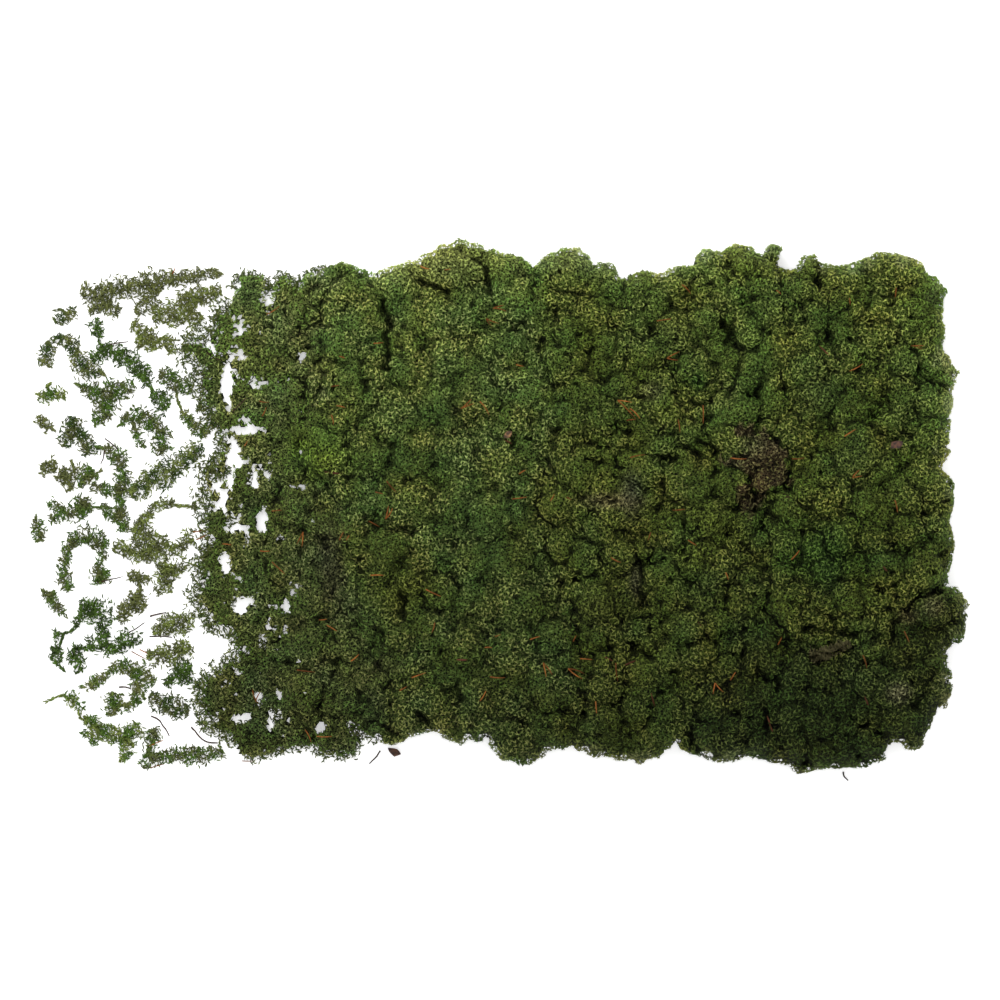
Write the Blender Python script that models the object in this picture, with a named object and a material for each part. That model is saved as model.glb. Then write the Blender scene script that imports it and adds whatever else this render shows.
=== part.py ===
"""A mass of reindeer moss lying flat: grown clumps side by side, with a torn, stringy left fringe.

The clumps are closed reliefs. Each top is a field of rounded cushions whose branch tips stand out
as raised points, larger than life, and each underside is rough with small flat spots to rest on.
Places are read in the frame of a 1000-pixel photograph taken from straight above, and PIXEL turns
them into metres. The origin is the flat spot under the middle of the mass, +X runs to the
photograph's right, +Y to its top and +Z up.
"""
import math
import random
from itertools import product

import bmesh
import bpy
from mathutils import Vector
from mathutils.bvhtree import BVHTree
from mathutils.geometry import delaunay_2d_cdt

SEED = 7

# Photograph to plan: metres a pixel, and the pixel that becomes the origin
PIXEL = 0.00125
PHOTO_MIDDLE = (504.5, 505.5)

# Thickness of the moss in metres, without its cushions
THICKNESS = {
    "middle_left_clump": 0.050,
    "middle_clump": 0.062,
    "right_upper_clump": 0.076,
    "right_lower_clump": 0.068,
    "grey_curl": 0.070,
}
# The torn edge thickens from its outer side to its seam, between these columns of pixels
TORN_THICKNESS = (0.013, 0.035)
TORN_COLUMNS = (200, 340)

# Rounding of the edges: how far in it reaches, and the share of the thickness left at the rim
FREE_ROLL = 0.032
SEAM_ROLL = 0.011
TORN_ROLL = 0.009
FREE_RIM = 0.3
SEAM_RIM = 0.6
FREE_RIM_SPREAD = (0.6, 1.5)
SEAM_RIM_SPREAD = (0.9, 1.1)
LOWEST_RIM = 0.009
FREE_TUCK = 0.005
SEAM_TUCK = 0.002
TORN_TUCK = 0.0012
RAGGED = (-0.0035, 0.0025)
SEAM_GAP = 0.0005

# Cushions: how round they are and how far they reach past their radius, and the smaller ones
# that fill the room between them, with steps, shifts and radii in pixels
DOME = 0.72
DOME_REACH = 1.12
DIP = 0.010
FULL_RELIEF = 0.03
LARGE_LIFT = (-0.004, 0.004)
SMALL_LIFT = (-0.004, 0.002)
SMALL_RADIUS = (7, 11)
SMALL_ROWS = range(230, 780, 15)
SMALL_COLUMNS = range(190, 975, 15)
SMALL_SHIFT = 5
SMALL_ROOM = 0.8

# Net of points that carries the relief; a third of them are raised as branch tips
PITCH = 0.0128
ROW_SHARE = 0.866
JITTER = 0.16
RIM_STEP = 0.0118
HOLE_STEP = 0.0109
RIM_MARGIN = 0.0079
TIP_RISE = (0.0045, 0.0085)
BETWEEN_DROP = (0.0, 0.0015)

# Underside: rough, with small flat spots that the moss rests on
UNDERSIDE = 0.005
UNDER_PITCH = 0.045
UNDER_MARGIN = 0.012
UNDER_SPREAD = (0.6, 1.5)
UNDER_RIM_SPREAD = (0.7, 1.1)
FOOT_RADIUS = 0.012
FOOT_ROOM = 0.0204
FEET = {
    "left_edge_clump": [(290, 470), (300, 690), (290, 330)],
    "middle_left_clump": [(504.5, 505.5)],
    "middle_clump": [(640, 390), (640, 600)],
    "right_upper_clump": [(850, 400)],
    "right_lower_clump": [(850, 700)],
    "grey_curl": [(766, 466)],
}

# Strings of sprigs, and the strands between them
SPRIG_STEP = 0.0095
SPRIG_WIDTH = 0.9
SPRIG_TALL = 0.0085
SPRIG_FOOT = 0.45
SPRIG_SIDES = (0.6, 1.45)
SPRIG_PEAKS = (0.75, 1.5)
SIDE_HEIGHTS = (0.35, 0.8)
PEAK_SHIFT = (-0.2, 0.2)
STRAND_THICK = 0.0016
STRAND_WIDEST = 0.00256
STRAND_PEAK = 1.4

# Loose pieces on the moss lie this far clear of it
CLEAR = 0.0005

# Seams between the clumps, top to bottom and left to right, in photograph pixels
SEAM_LEFT = [
    (342, 262), (322, 300), (320, 364), (314, 407), (297, 436), (330, 489), (339, 545), (341, 595),
    (361, 620), (392, 640), (388, 690), (392, 745),
]
SEAM_MIDDLE = [
    (533, 268), (539, 301), (542, 345), (551, 382), (548, 420), (551, 439), (539, 489), (539, 532),
    (551, 570), (573, 607), (576, 645), (589, 682), (573, 744),
]
SEAM_RIGHT_TOP = [
    (695, 267), (722, 301), (736, 345), (720, 382), (703, 420), (705, 436), (739, 450),
]
CURL_LEFT = [(743, 458), (746, 480), (750, 493)]
CURL_RIGHT = [(752, 439), (770, 438), (785, 452), (788, 472), (778, 488), (762, 496)]
SEAM_RIGHT_MIDDLE = [(764, 520), (767, 557), (764, 607)]
SEAM_RIGHT_LOWER = [(741, 632), (745, 670), (703, 695), (687, 751)]
SEAM_ACROSS = [(790, 640), (815, 652), (850, 648), (880, 630), (915, 600), (944, 587)]

# Outer edges, each named from its first point to its last, in photograph pixels
EDGE_LEFT_TOP = [
    (325, 268), (305, 274), (296, 288), (286, 273), (278, 277), (268, 292), (262, 276), (238, 274),
    (232, 288),
]
EDGE_LEFT_SIDE = [
    (230, 303), (214, 314), (210, 333), (192, 335), (181, 347), (187, 361), (199, 370), (200, 395),
    (204, 416), (217, 424), (219, 446), (207, 470), (199, 485), (204, 500), (203, 515), (204, 532),
    (205, 550), (197, 561), (197, 575), (193, 592), (197, 606), (205, 614), (207, 628), (232, 634),
    (236, 655), (222, 667), (203, 676), (198, 692), (200, 712), (206, 728), (224, 733), (235, 745),
]
EDGE_LEFT_FOOT = [
    (242, 758), (262, 756), (280, 751), (305, 744), (318, 752), (340, 757), (353, 754), (358, 741),
    (350, 726), (362, 731), (378, 742),
]
EDGE_MIDDLE_LEFT_TOP = [
    (520, 256), (500, 252), (482, 244), (458, 238), (440, 244), (420, 252), (405, 262), (385, 268),
    (370, 272), (356, 267),
]
EDGE_MIDDLE_LEFT_FOOT = [
    (410, 738), (435, 735), (452, 742), (462, 750), (468, 741), (486, 742), (500, 759), (512, 768),
    (531, 764), (547, 755), (560, 752),
]
EDGE_MIDDLE_TOP = [
    (675, 266), (658, 274), (642, 269), (626, 277), (612, 263), (596, 262), (582, 248), (560, 248),
    (545, 256),
]
EDGE_MIDDLE_FOOT = [
    (577, 753), (600, 759), (625, 761), (643, 766), (660, 757), (676, 746),
]
EDGE_RIGHT_TOP = [
    (943, 300), (948, 290), (938, 275), (920, 261), (900, 254), (880, 250), (866, 258), (850, 264),
    (838, 266), (822, 263), (816, 254), (802, 256), (790, 268), (781, 262), (783, 247), (768, 243),
    (762, 256), (752, 247), (735, 243), (722, 252), (706, 248), (697, 255),
]
EDGE_RIGHT_SIDE = [
    (948, 578), (952, 560), (955, 545), (951, 527), (953, 510), (955, 484), (941, 468), (952, 450),
    (949, 437), (953, 408), (953, 392), (961, 374), (952, 364), (944, 345), (946, 322),
]
EDGE_LOWER_SIDE = [
    (958, 588), (970, 605), (967, 622), (964, 640), (949, 652), (952, 672), (953, 692), (949, 710),
    (938, 706), (934, 722), (927, 735), (926, 746), (910, 752), (893, 745), (885, 760), (866, 768),
    (842, 768), (820, 770), (797, 774), (782, 764), (762, 762), (750, 758), (733, 763), (717, 762),
    (703, 758),
]

# Holes through the torn left edge: photograph pixels, then half width and half height
HOLES = [
    (258, 382, 9, 9), (226, 386, 6, 20), (246, 430, 18, 5), (229, 474, 4.5, 21), (252, 478, 6, 12),
    (233, 526, 9, 8), (262, 522, 6, 12), (279, 542, 5, 5), (223, 556, 7, 6), (239, 603, 11, 9),
    (263, 642, 4.5, 9), (285, 606, 4.5, 7), (301, 356, 5, 5), (242, 719, 9, 6), (274, 717, 10, 8),
    (319, 729, 6, 6),
]

# The large cushions that give each clump its form: photograph pixels, then radius
CUSHIONS = [
    # Torn left edge
    (250, 310, 16), (275, 330, 18), (240, 350, 14), (192, 347, 11), (212, 375, 11), (300, 310, 14),
    (285, 390, 16), (250, 405, 12), (300, 415, 15), (245, 455, 11), (285, 465, 18), (215, 490, 12),
    (290, 510, 20), (215, 530, 10), (245, 548, 14), (285, 570, 18), (210, 585, 14), (305, 600, 16),
    (250, 630, 13), (300, 645, 18), (215, 690, 15), (250, 690, 16), (300, 690, 20), (340, 700, 18),
    (345, 740, 12), (370, 680, 16), (350, 650, 14), (285, 735, 13),
    # Flat-topped clump
    (345, 290, 16), (365, 320, 23), (345, 345, 20), (372, 356, 13), (343, 385, 18), (345, 412, 19),
    (325, 455, 24), (400, 285, 20), (395, 345, 18), (405, 372, 16), (428, 262, 15), (450, 270, 22),
    (465, 252, 14), (505, 266, 17), (520, 300, 18), (465, 315, 19), (430, 320, 20), (500, 345, 21),
    (455, 355, 20), (520, 385, 19), (475, 395, 20), (435, 400, 20), (395, 415, 20), (510, 420, 16),
    (370, 450, 18), (415, 455, 21), (455, 450, 19), (495, 465, 21), (370, 495, 20), (410, 505, 20),
    (350, 530, 16), (450, 500, 20), (490, 515, 22), (385, 545, 20), (430, 548, 19), (470, 560, 20),
    (510, 560, 21), (380, 598, 17), (412, 580, 15), (440, 590, 16), (475, 605, 20), (520, 605, 22),
    (392, 638, 19), (430, 635, 18), (465, 650, 19), (510, 650, 21), (550, 640, 18), (430, 695, 19),
    (410, 665, 14), (470, 695, 18), (510, 700, 20), (550, 690, 21), (445, 725, 14), (480, 725, 15),
    (513, 748, 18), (550, 732, 19), (405, 720, 14),
    # Middle clump
    (570, 270, 21), (612, 284, 14), (643, 284, 14), (675, 285, 17), (590, 310, 19), (625, 318, 15),
    (655, 308, 14), (672, 332, 17), (572, 335, 17), (600, 348, 15), (565, 368, 19), (640, 352, 17),
    (705, 320, 15), (588, 392, 17), (624, 384, 15), (692, 368, 20), (655, 378, 13), (570, 422, 17),
    (600, 422, 17), (628, 412, 13), (664, 408, 18), (688, 434, 17), (655, 442, 15), (560, 446, 14),
    (575, 472, 22), (640, 472, 19), (606, 484, 17), (688, 482, 22), (620, 505, 21), (560, 508, 18),
    (726, 486, 18), (600, 528, 17), (560, 545, 16), (585, 560, 18), (616, 552, 18), (645, 520, 15),
    (708, 518, 20), (742, 530, 18), (668, 530, 15), (660, 570, 18), (692, 560, 18), (717, 566, 20),
    (746, 574, 16), (670, 596, 17), (700, 597, 16), (735, 600, 17), (597, 606, 20), (605, 636, 16),
    (640, 650, 14), (666, 662, 18), (640, 680, 17), (682, 626, 20), (712, 620, 18), (730, 640, 13),
    (702, 652, 16), (726, 668, 15), (690, 690, 14), (608, 664, 14), (600, 690, 14), (600, 722, 18),
    (634, 714, 17), (655, 736, 20), (600, 745, 14), (668, 708, 14), (640, 752, 13), (626, 590, 13),
    # Upper right clump
    (703, 259, 11), (738, 257, 16), (773, 252, 9), (712, 288, 18), (738, 292, 18), (762, 282, 18),
    (810, 266, 12), (842, 276, 18), (877, 262, 16), (900, 272, 18), (925, 285, 16), (770, 315, 19),
    (798, 292, 16), (812, 322, 16), (845, 305, 18), (874, 306, 16), (905, 312, 20), (930, 325, 15),
    (745, 330, 15), (738, 371, 21), (770, 352, 19), (795, 345, 17), (800, 372, 18), (765, 384, 15),
    (733, 408, 21), (812, 400, 22), (775, 405, 17), (795, 432, 18), (845, 412, 20), (866, 385, 16),
    (840, 352, 16), (870, 345, 15), (905, 362, 18), (932, 362, 17), (900, 400, 19), (932, 404, 16),
    (885, 424, 14), (930, 436, 17), (852, 452, 26), (822, 470, 17), (878, 470, 18), (905, 448, 16),
    (804, 494, 18), (832, 502, 18), (785, 512, 16), (930, 480, 20), (900, 494, 18), (862, 506, 16),
    (940, 520, 16), (786, 545, 19), (812, 545, 15), (842, 536, 17), (872, 540, 15), (905, 532, 18),
    (778, 572, 14), (803, 572, 13), (827, 567, 14), (853, 570, 13), (882, 572, 16), (918, 566, 20),
    (792, 592, 16), (820, 597, 14), (846, 597, 14), (872, 600, 14), (783, 618, 20), (815, 628, 14),
    (843, 624, 14), (760, 445, 14), (730, 436, 15), (900, 590, 13),
    # Lower right clump
    (935, 610, 17), (957, 606, 11), (955, 630, 12), (906, 622, 15), (868, 645, 15), (890, 652, 15),
    (915, 648, 18), (938, 656, 14), (772, 660, 14), (795, 668, 14), (820, 674, 13), (842, 666, 13),
    (866, 678, 17), (892, 690, 18), (916, 678, 14), (938, 690, 16), (768, 692, 15), (792, 692, 13),
    (815, 698, 13), (840, 695, 13), (852, 714, 12), (873, 716, 14), (900, 720, 16), (926, 722, 14),
    (742, 700, 14), (740, 724, 14), (728, 745, 13), (764, 736, 15), (790, 716, 14), (816, 722, 14),
    (840, 735, 14), (792, 742, 14), (820, 747, 14), (866, 746, 16), (905, 742, 12), (796, 762, 11),
    (705, 735, 14), (718, 712, 13), (762, 640, 14), (750, 752, 10), (845, 756, 12), (712, 752, 10),
    # Grey curl
    (760, 456, 13), (774, 466, 13), (764, 480, 13),
]

# Strings of sprigs: each spray is a list of chains, each chain a list of photograph pixels with
# the sprig's half width there
SPRAYS = [
    [
        [(80, 294, 6), (101, 291, 7), (121, 288, 7), (140, 283, 6), (156, 280, 7), (172, 279, 5),
         (184, 278, 5), (197, 275, 5), (210, 272, 4), (221, 273, 2)],
        [(99, 294, 4), (104, 304, 6), (118, 310, 5)],
        [(87, 309, 3), (104, 305, 4)],
        [(153, 284, 3), (145, 302, 6), (134, 312, 3)],
    ],
    [
        [(151, 315, 6), (168, 312, 8), (185, 314, 8), (200, 321, 6)],
        [(176, 300, 4), (191, 295, 6), (208, 293, 6), (220, 291, 4)],
        [(187, 312, 3), (194, 297, 4)],
    ],
    [
        [(130, 324, 5), (139, 329, 4), (150, 337, 6), (154, 349, 6)],
        [(134, 341, 5), (150, 340, 5)],
        [(153, 342, 2), (160, 338, 2), (167, 340, 5), (171, 352, 4)],
    ],
    [
        [(91, 320, 5), (97, 331, 4), (98, 342, 2), (104, 350, 5), (90, 358, 5)],
        [(104, 350, 6), (117, 352, 6), (129, 360, 7), (139, 370, 6), (146, 382, 4), (150, 388, 2),
         (156, 398, 7), (168, 404, 7)],
    ],
    [
        [(158, 371, 5), (168, 378, 6), (181, 385, 6), (190, 390, 5)],
    ],
    [
        [(174, 392, 1.5), (179, 407, 2), (185, 418, 4), (196, 429, 5), (207, 433, 5)],
    ],
    [
        [(53, 336, 2), (68, 341, 6), (72, 350, 4), (76, 358, 6), (82, 371, 6), (94, 370, 4),
         (103, 375, 1.5)],
        [(56, 337, 2), (50, 341, 3), (44, 352, 5), (41, 365, 5)],
    ],
    [
        [(73, 417, 6), (67, 432, 6), (63, 446, 5)],
        [(69, 427, 2), (83, 438, 5), (86, 455, 6)],
    ],
    [
        [(94, 446, 2), (104, 449, 3), (117, 456, 7), (119, 466, 4), (121, 476, 6), (120, 490, 7),
         (119, 504, 3), (122, 517, 4), (122, 531, 4)],
        [(90, 485, 3), (103, 490, 4), (118, 490, 4)],
        [(47, 520, 3), (61, 515, 4), (76, 511, 6), (94, 507, 2), (108, 512, 5), (121, 517, 4)],
        [(76, 511, 5), (85, 497, 5)],
        [(47, 501, 3), (56, 508, 3), (66, 514, 2)],
    ],
    [
        [(130, 497, 6), (139, 484, 6), (154, 478, 9), (166, 472, 9), (178, 463, 7), (192, 452, 7),
         (202, 449, 4)],
    ],
    [
        [(142, 522, 5), (149, 512, 3), (155, 506, 4), (164, 503, 4), (178, 506, 2), (194, 506, 3)],
        [(142, 521, 5), (133, 531, 4), (145, 538, 7), (156, 542, 7), (166, 548, 6), (175, 549, 5),
         (184, 541, 5), (192, 539, 5)],
        [(112, 547, 5), (124, 548, 6), (134, 553, 6), (150, 556, 6), (160, 549, 4)],
    ],
    [
        [(68, 540, 5), (85, 537, 6), (99, 542, 6), (99, 562, 3), (95, 574, 6), (99, 583, 4)],
        [(96, 577, 4), (108, 576, 5)],
        [(69, 541, 3), (64, 555, 5), (63, 566, 4), (63, 580, 5), (69, 591, 3)],
    ],
    [
        [(126, 577, 3), (137, 578, 5), (147, 579, 3)],
        [(137, 577, 3), (138, 590, 2), (134, 603, 6)],
        [(122, 623, 3), (120, 611, 5), (133, 603, 7), (143, 607, 5)],
    ],
    [
        [(160, 573, 7), (172, 566, 7), (182, 572, 6)],
        [(166, 570, 6), (163, 582, 7), (166, 593, 6)],
    ],
    [
        [(79, 607, 5), (94, 607, 8), (99, 621, 8), (103, 635, 4), (100, 646, 4), (91, 644, 5),
         (79, 650, 3), (71, 649, 5), (75, 662, 5), (81, 671, 4)],
        [(81, 607, 3), (76, 623, 3), (68, 632, 2), (60, 635, 2), (52, 637, 5)],
        [(62, 634, 1.5), (58, 644, 2), (54, 652, 5), (54, 662, 3), (62, 671, 2)],
        [(101, 646, 3), (107, 652, 5), (118, 646, 6), (131, 640, 6), (138, 644, 3)],
    ],
    [
        [(152, 633, 4), (168, 626, 7), (180, 621, 7), (193, 622, 6)],
    ],
    [
        [(146, 656, 6), (162, 655, 7), (179, 652, 7), (188, 645, 6)],
    ],
    [
        [(79, 688, 2), (92, 685, 4), (104, 677, 3), (110, 669, 3), (122, 668, 5), (133, 669, 6),
         (145, 678, 5), (154, 684, 3)],
        [(132, 669, 3), (134, 683, 4), (138, 692, 5), (133, 703, 4), (121, 708, 3), (111, 708, 5)],
        [(112, 694, 5), (111, 706, 7), (112, 716, 4)],
    ],
    [
        [(43, 703, 1.5), (58, 697, 1.5), (68, 699, 5), (76, 706, 4), (78, 718, 1.5), (86, 721, 4),
         (96, 724, 5), (94, 732, 5), (85, 741, 6)],
        [(95, 731, 5), (108, 737, 6), (118, 736, 6), (129, 735, 7), (136, 724, 5)],
        [(128, 736, 3), (124, 749, 5), (121, 763, 3)],
    ],
    [
        [(164, 686, 4), (170, 677, 4), (182, 669, 6), (190, 667, 4)],
        [(181, 671, 5), (184, 685, 6)],
    ],
    [
        [(148, 696, 4), (162, 705, 7), (177, 710, 7), (187, 713, 4)],
    ],
    [
        [(149, 731, 6), (153, 741, 5), (146, 749, 3), (149, 757, 4), (144, 769, 4)],
        [(149, 757, 4), (168, 757, 5), (185, 756, 6), (200, 755, 6), (212, 755, 5), (222, 753, 4)],
    ],
    [
        [(73, 383, 2), (81, 387, 3), (90, 392, 6), (101, 395, 8), (112, 392, 7), (124, 387, 6),
         (133, 384, 3)],
        [(103, 397, 7), (109, 406, 6), (105, 414, 5), (97, 417, 6), (93, 425, 2)],
    ],
    [
        [(117, 426, 2), (126, 417, 4), (136, 415, 6), (147, 419, 6), (157, 427, 6), (162, 437, 6),
         (159, 448, 7), (161, 454, 3)],
        [(131, 420, 2), (134, 431, 3), (139, 443, 3), (143, 446, 2)],
    ],
    [
        [(69, 461, 1.5), (71, 469, 3), (66, 476, 6), (58, 477, 5), (53, 476, 2)],
        [(66, 476, 6), (67, 484, 4), (68, 490, 3)],
    ],
    [
        [(79, 487, 3), (80, 480, 5), (85, 472, 7), (89, 468, 5)],
        [(83, 477, 4), (93, 474, 3), (99, 471, 1.5)],
    ],
    [
        [(54, 462, 4), (47, 465, 5), (42, 471, 4), (38, 472, 2)],
    ],
    [
        [(37, 416, 3), (39, 424, 4), (46, 425, 4), (52, 430, 1.5)],
    ],
    [
        [(34, 394, 2), (41, 397, 4), (50, 394, 4), (58, 393, 4), (63, 398, 2)],
        [(47, 394, 3), (46, 386, 2), (49, 383, 2)],
    ],
    [
        [(73, 306, 2), (67, 312, 4), (59, 317, 4), (53, 320, 3)],
        [(52, 309, 1.5), (59, 309, 1.5), (64, 313, 2)],
    ],
    [
        [(34, 516, 2), (35, 525, 4), (37, 534, 5), (39, 541, 3)],
    ],
    [
        [(40, 590, 2), (46, 598, 4), (54, 606, 4), (61, 614, 2.5), (65, 618, 1.5)],
        [(46, 598, 3), (52, 592, 2)],
    ],
]

# Twigs that lie free on the ground, in photograph pixels
TWIGS = [
    [(148, 617), (155, 615), (164, 613)],
    [(117, 688), (124, 688), (129, 690)],
    [(149, 717), (158, 722), (168, 737)],
    [(190, 728), (203, 742), (216, 744)],
    [(380, 752), (374, 760), (368, 765)],
    [(845, 773), (846, 778), (850, 782)],
]
TWIG_RADIUS = 0.0011
TWIG_TAPER = (1.0, 0.9, 0.75)

# Pairs of pine needles on the moss: the joined end, then the two tips, in photograph pixels
NEEDLES = [
    ((617, 401), (631, 403), (635, 419)), ((666, 359), (679, 352), (677, 361)),
    ((849, 478), (856, 470), (859, 476)), ((543, 662), (546, 676), (552, 674)),
    ((568, 668), (582, 678), (584, 673)), ((714, 682), (722, 691), (712, 693)),
    ((493, 309), (506, 312), (504, 306)), ((486, 319), (492, 327), (499, 324)),
    ((461, 409), (471, 400), (474, 404)), ((386, 519), (393, 508), (389, 506)),
    ((908, 347), (921, 347), (919, 351)), ((303, 532), (297, 544), (302, 547)),
]
NEEDLE_RADIUS = 0.0007
NEEDLE_TAPER = (1.0, 0.6)

# Flakes of bark: photograph pixels, half length, half width, thickness and turn in degrees
FLAKES = [
    (394, 753, 0.0095, 0.0055, 0.004, -20),
    (508, 435, 0.0062, 0.0045, 0.0025, 40),
    (893, 445, 0.0085, 0.0055, 0.003, 20),
]
FLAKE_CORNERS = 9
FLAKE_SPREAD = (0.75, 1.1)

# A dead grey strand over the seam of the right clumps
STRAND = [(803, 656), (815, 655), (830, 650), (847, 641)]
STRAND_RADIUS = 0.0045
STRAND_TAPER = (0.8, 1.0, 0.95, 0.7)


def at(px, py):
    """Metres in plan for a place in the photograph."""
    return Vector(((px - PHOTO_MIDDLE[0]) * PIXEL, (PHOTO_MIDDLE[1] - py) * PIXEL))


def clump_outlines():
    """Each clump as runs of places round its outline, with whether the run is a seam."""
    right_seam = SEAM_RIGHT_TOP + CURL_LEFT + SEAM_RIGHT_MIDDLE + SEAM_RIGHT_LOWER
    upper_seam = SEAM_RIGHT_TOP + CURL_RIGHT + SEAM_RIGHT_MIDDLE + SEAM_ACROSS
    lower_seam = SEAM_RIGHT_LOWER[::-1] + SEAM_RIGHT_MIDDLE[-1:] + SEAM_ACROSS
    return {
        "left_edge_clump": [
            (SEAM_LEFT[::-1], True), (EDGE_LEFT_TOP, False), (EDGE_LEFT_SIDE, False),
            (EDGE_LEFT_FOOT, False),
        ],
        "middle_left_clump": [
            (SEAM_MIDDLE[::-1], True), (EDGE_MIDDLE_LEFT_TOP, False), (SEAM_LEFT, True),
            (EDGE_MIDDLE_LEFT_FOOT, False),
        ],
        "middle_clump": [
            (right_seam[::-1], True), (EDGE_MIDDLE_TOP, False), (SEAM_MIDDLE, True),
            (EDGE_MIDDLE_FOOT, False),
        ],
        "right_upper_clump": [
            (upper_seam, True), (EDGE_RIGHT_SIDE, False), (EDGE_RIGHT_TOP, False),
        ],
        "right_lower_clump": [(lower_seam, True), (EDGE_LOWER_SIDE, False)],
        "grey_curl": [(CURL_RIGHT + CURL_LEFT[::-1], True)],
    }


def material(name, colour, roughness=0.9):
    made = bpy.data.materials.new(name)
    made.use_nodes = True
    shader = made.node_tree.nodes["Principled BSDF"]
    shader.inputs["Base Color"].default_value = (*colour, 1.0)
    shader.inputs["Roughness"].default_value = roughness
    shader.inputs["Metallic"].default_value = 0.0
    return made


def add_object(name, mesh, look):
    mesh.materials.append(look)
    made = bpy.data.objects.new(name, mesh)
    bpy.context.scene.collection.objects.link(made)
    return made


def ring_area(ring):
    turned = ring[1:] + ring[:1]
    return sum(a.x * b.y - b.x * a.y for a, b in zip(ring, turned)) / 2


def inward(ring, i):
    """The way into the material from point i of a ring that runs with the material on its left."""
    along = ring[(i + 1) % len(ring)] - ring[i - 1]
    return Vector((-along.y, along.x)).normalized()


def spaced(places, flags, step):
    """Points no further apart than step along a closed run of places, each with its seam flag."""
    ring, kinds = [], []
    for i, place in enumerate(places):
        following = places[(i + 1) % len(places)]
        seam = flags[i] and flags[(i + 1) % len(places)]
        count = max(1, round((following - place).length / step))
        for k in range(count):
            ring.append(place.lerp(following, k / count))
            kinds.append(seam)
    return ring, kinds


def outer_ring(runs, rng):
    """A clump's outline, kept off its neighbours at seams and ragged where it is free."""
    places = [at(*place) for run, _ in runs for place in run]
    flags = [seam for run, seam in runs for _ in run]
    ring, kinds = spaced(places, flags, RIM_STEP)
    if ring_area(ring) < 0:
        ring.reverse()
        kinds = kinds[-2::-1] + kinds[-1:]
    moved = []
    for i, point in enumerate(ring):
        shift = SEAM_GAP
        if not (kinds[i] or kinds[i - 1] or kinds[(i + 1) % len(ring)]):
            shift = rng.uniform(*RAGGED)
        moved.append(point + inward(ring, i) * shift)
    return moved, kinds


def hole_ring(hole):
    """An oval hole, run clockwise so that the material lies on its left."""
    px, py, half_width, half_height = hole
    count = max(5, round(math.pi * (half_width + half_height) * PIXEL / HOLE_STEP))
    return [
        at(px + half_width * math.cos(turn), py + half_height * math.sin(turn))
        for turn in (2 * math.pi * i / count for i in range(count))
    ]


def distance_to(edges, point):
    """How far a point lies from the nearest of some straight edges."""
    least = 1.0
    for a, b in edges:
        along = b - a
        share = max(0.0, min(1.0, (point - a).dot(along) / along.length_squared))
        least = min(least, (point - a - along * share).length)
    return least


def is_inside(rings, point):
    """Whether a point lies in the material: inside the outline and outside each hole."""
    crossings = 0
    for ring in rings:
        for a, b in zip(ring, ring[1:] + ring[:1]):
            if (a.y > point.y) != (b.y > point.y):
                crossings += point.x < a.x + (point.y - a.y) * (b.x - a.x) / (b.y - a.y)
    return crossings % 2 == 1


def edges_of(rings, kinds, seam):
    """The straight edges of the rings that lie on a seam, or those that don't."""
    return [
        (ring[i], ring[(i + 1) % len(ring)])
        for ring, flags in zip(rings, kinds)
        for i in range(len(ring))
        if flags[i] == seam
    ]


def lattice(rings, pitch, margin, rng, kinds):
    """Jittered triangular lattice: points, distances to free edge and seam, third of lattice."""
    free_edges, seam_edges = edges_of(rings, kinds, False), edges_of(rings, kinds, True)
    low_x, high_x = min(p.x for p in rings[0]), max(p.x for p in rings[0])
    low_y, high_y = min(p.y for p in rings[0]), max(p.y for p in rings[0])
    row_step = pitch * ROW_SHARE
    rows = range(int(low_y / row_step) - 1, int(high_y / row_step) + 2)
    found = []
    for row in rows:
        for column in range(int(low_x / pitch) - 1, int(high_x / pitch) + 2):
            jitter = Vector((rng.uniform(-1, 1), rng.uniform(-1, 1))) * pitch * JITTER
            point = Vector(((column + 0.5 * (row & 1)) * pitch, row * row_step)) + jitter
            if not is_inside(rings, point):
                continue
            free, seam = distance_to(free_edges, point), distance_to(seam_edges, point)
            if min(free, seam) > margin:
                third = (column - (row - (row & 1)) // 2 - row) % 3
                found.append((point, free, seam, third))
    return found


def triangles(rings, inner):
    """Faces over the material between rings, through the inner points, indexed rings first."""
    points = [p for ring in rings for p in ring] + list(inner)
    edges, start = [], 0
    for ring in rings:
        edges += [(start + i, start + (i + 1) % len(ring)) for i in range(len(ring))]
        start += len(ring)
    scaled = [p * 1000 for p in points]
    _, _, faces, origin, _, _ = delaunay_2d_cdt(scaled, edges, [], 0, 1e-4)
    kept = []
    for face in faces:
        corners = [origin[k][0] for k in face]
        middle = sum((points[k] for k in corners), Vector((0, 0))) / 3
        if is_inside(rings, middle):
            kept.append(corners)
    return kept


def level(name, x):
    """Thickness of the moss under its cushions."""
    if name == "left_edge_clump":
        outer, inner = (at(column, 0).x for column in TORN_COLUMNS)
        thin, thick = TORN_THICKNESS
        return thin + (thick - thin) * max(0.0, min(1.0, (x - outer) / (inner - outer)))
    return THICKNESS[name]


def rounded(distance, roll, rim):
    """Share of the full thickness at a distance from an edge that is rounded over."""
    return rim + (1 - rim) * math.sqrt(1 - (1 - min(distance / roll, 1.0)) ** 2)


def relief(name, point, free, seam, near):
    """Height of the smooth cushioned top, from the distances to the free edge and the seam."""
    thick = level(name, point.x)
    roll = TORN_ROLL if name == "left_edge_clump" else FREE_ROLL
    share = rounded(free, roll, FREE_RIM) * rounded(seam, SEAM_ROLL, SEAM_RIM)
    dome = 0.0
    for middle, radius, lift in near:
        reach = (radius * DOME_REACH) ** 2 - (point - middle).length_squared
        if reach > 0:
            dome = max(dome, lift + DOME * math.sqrt(reach))
    return thick * share + (dome - DIP) * share * min(1.0, thick / FULL_RELIEF)


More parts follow.
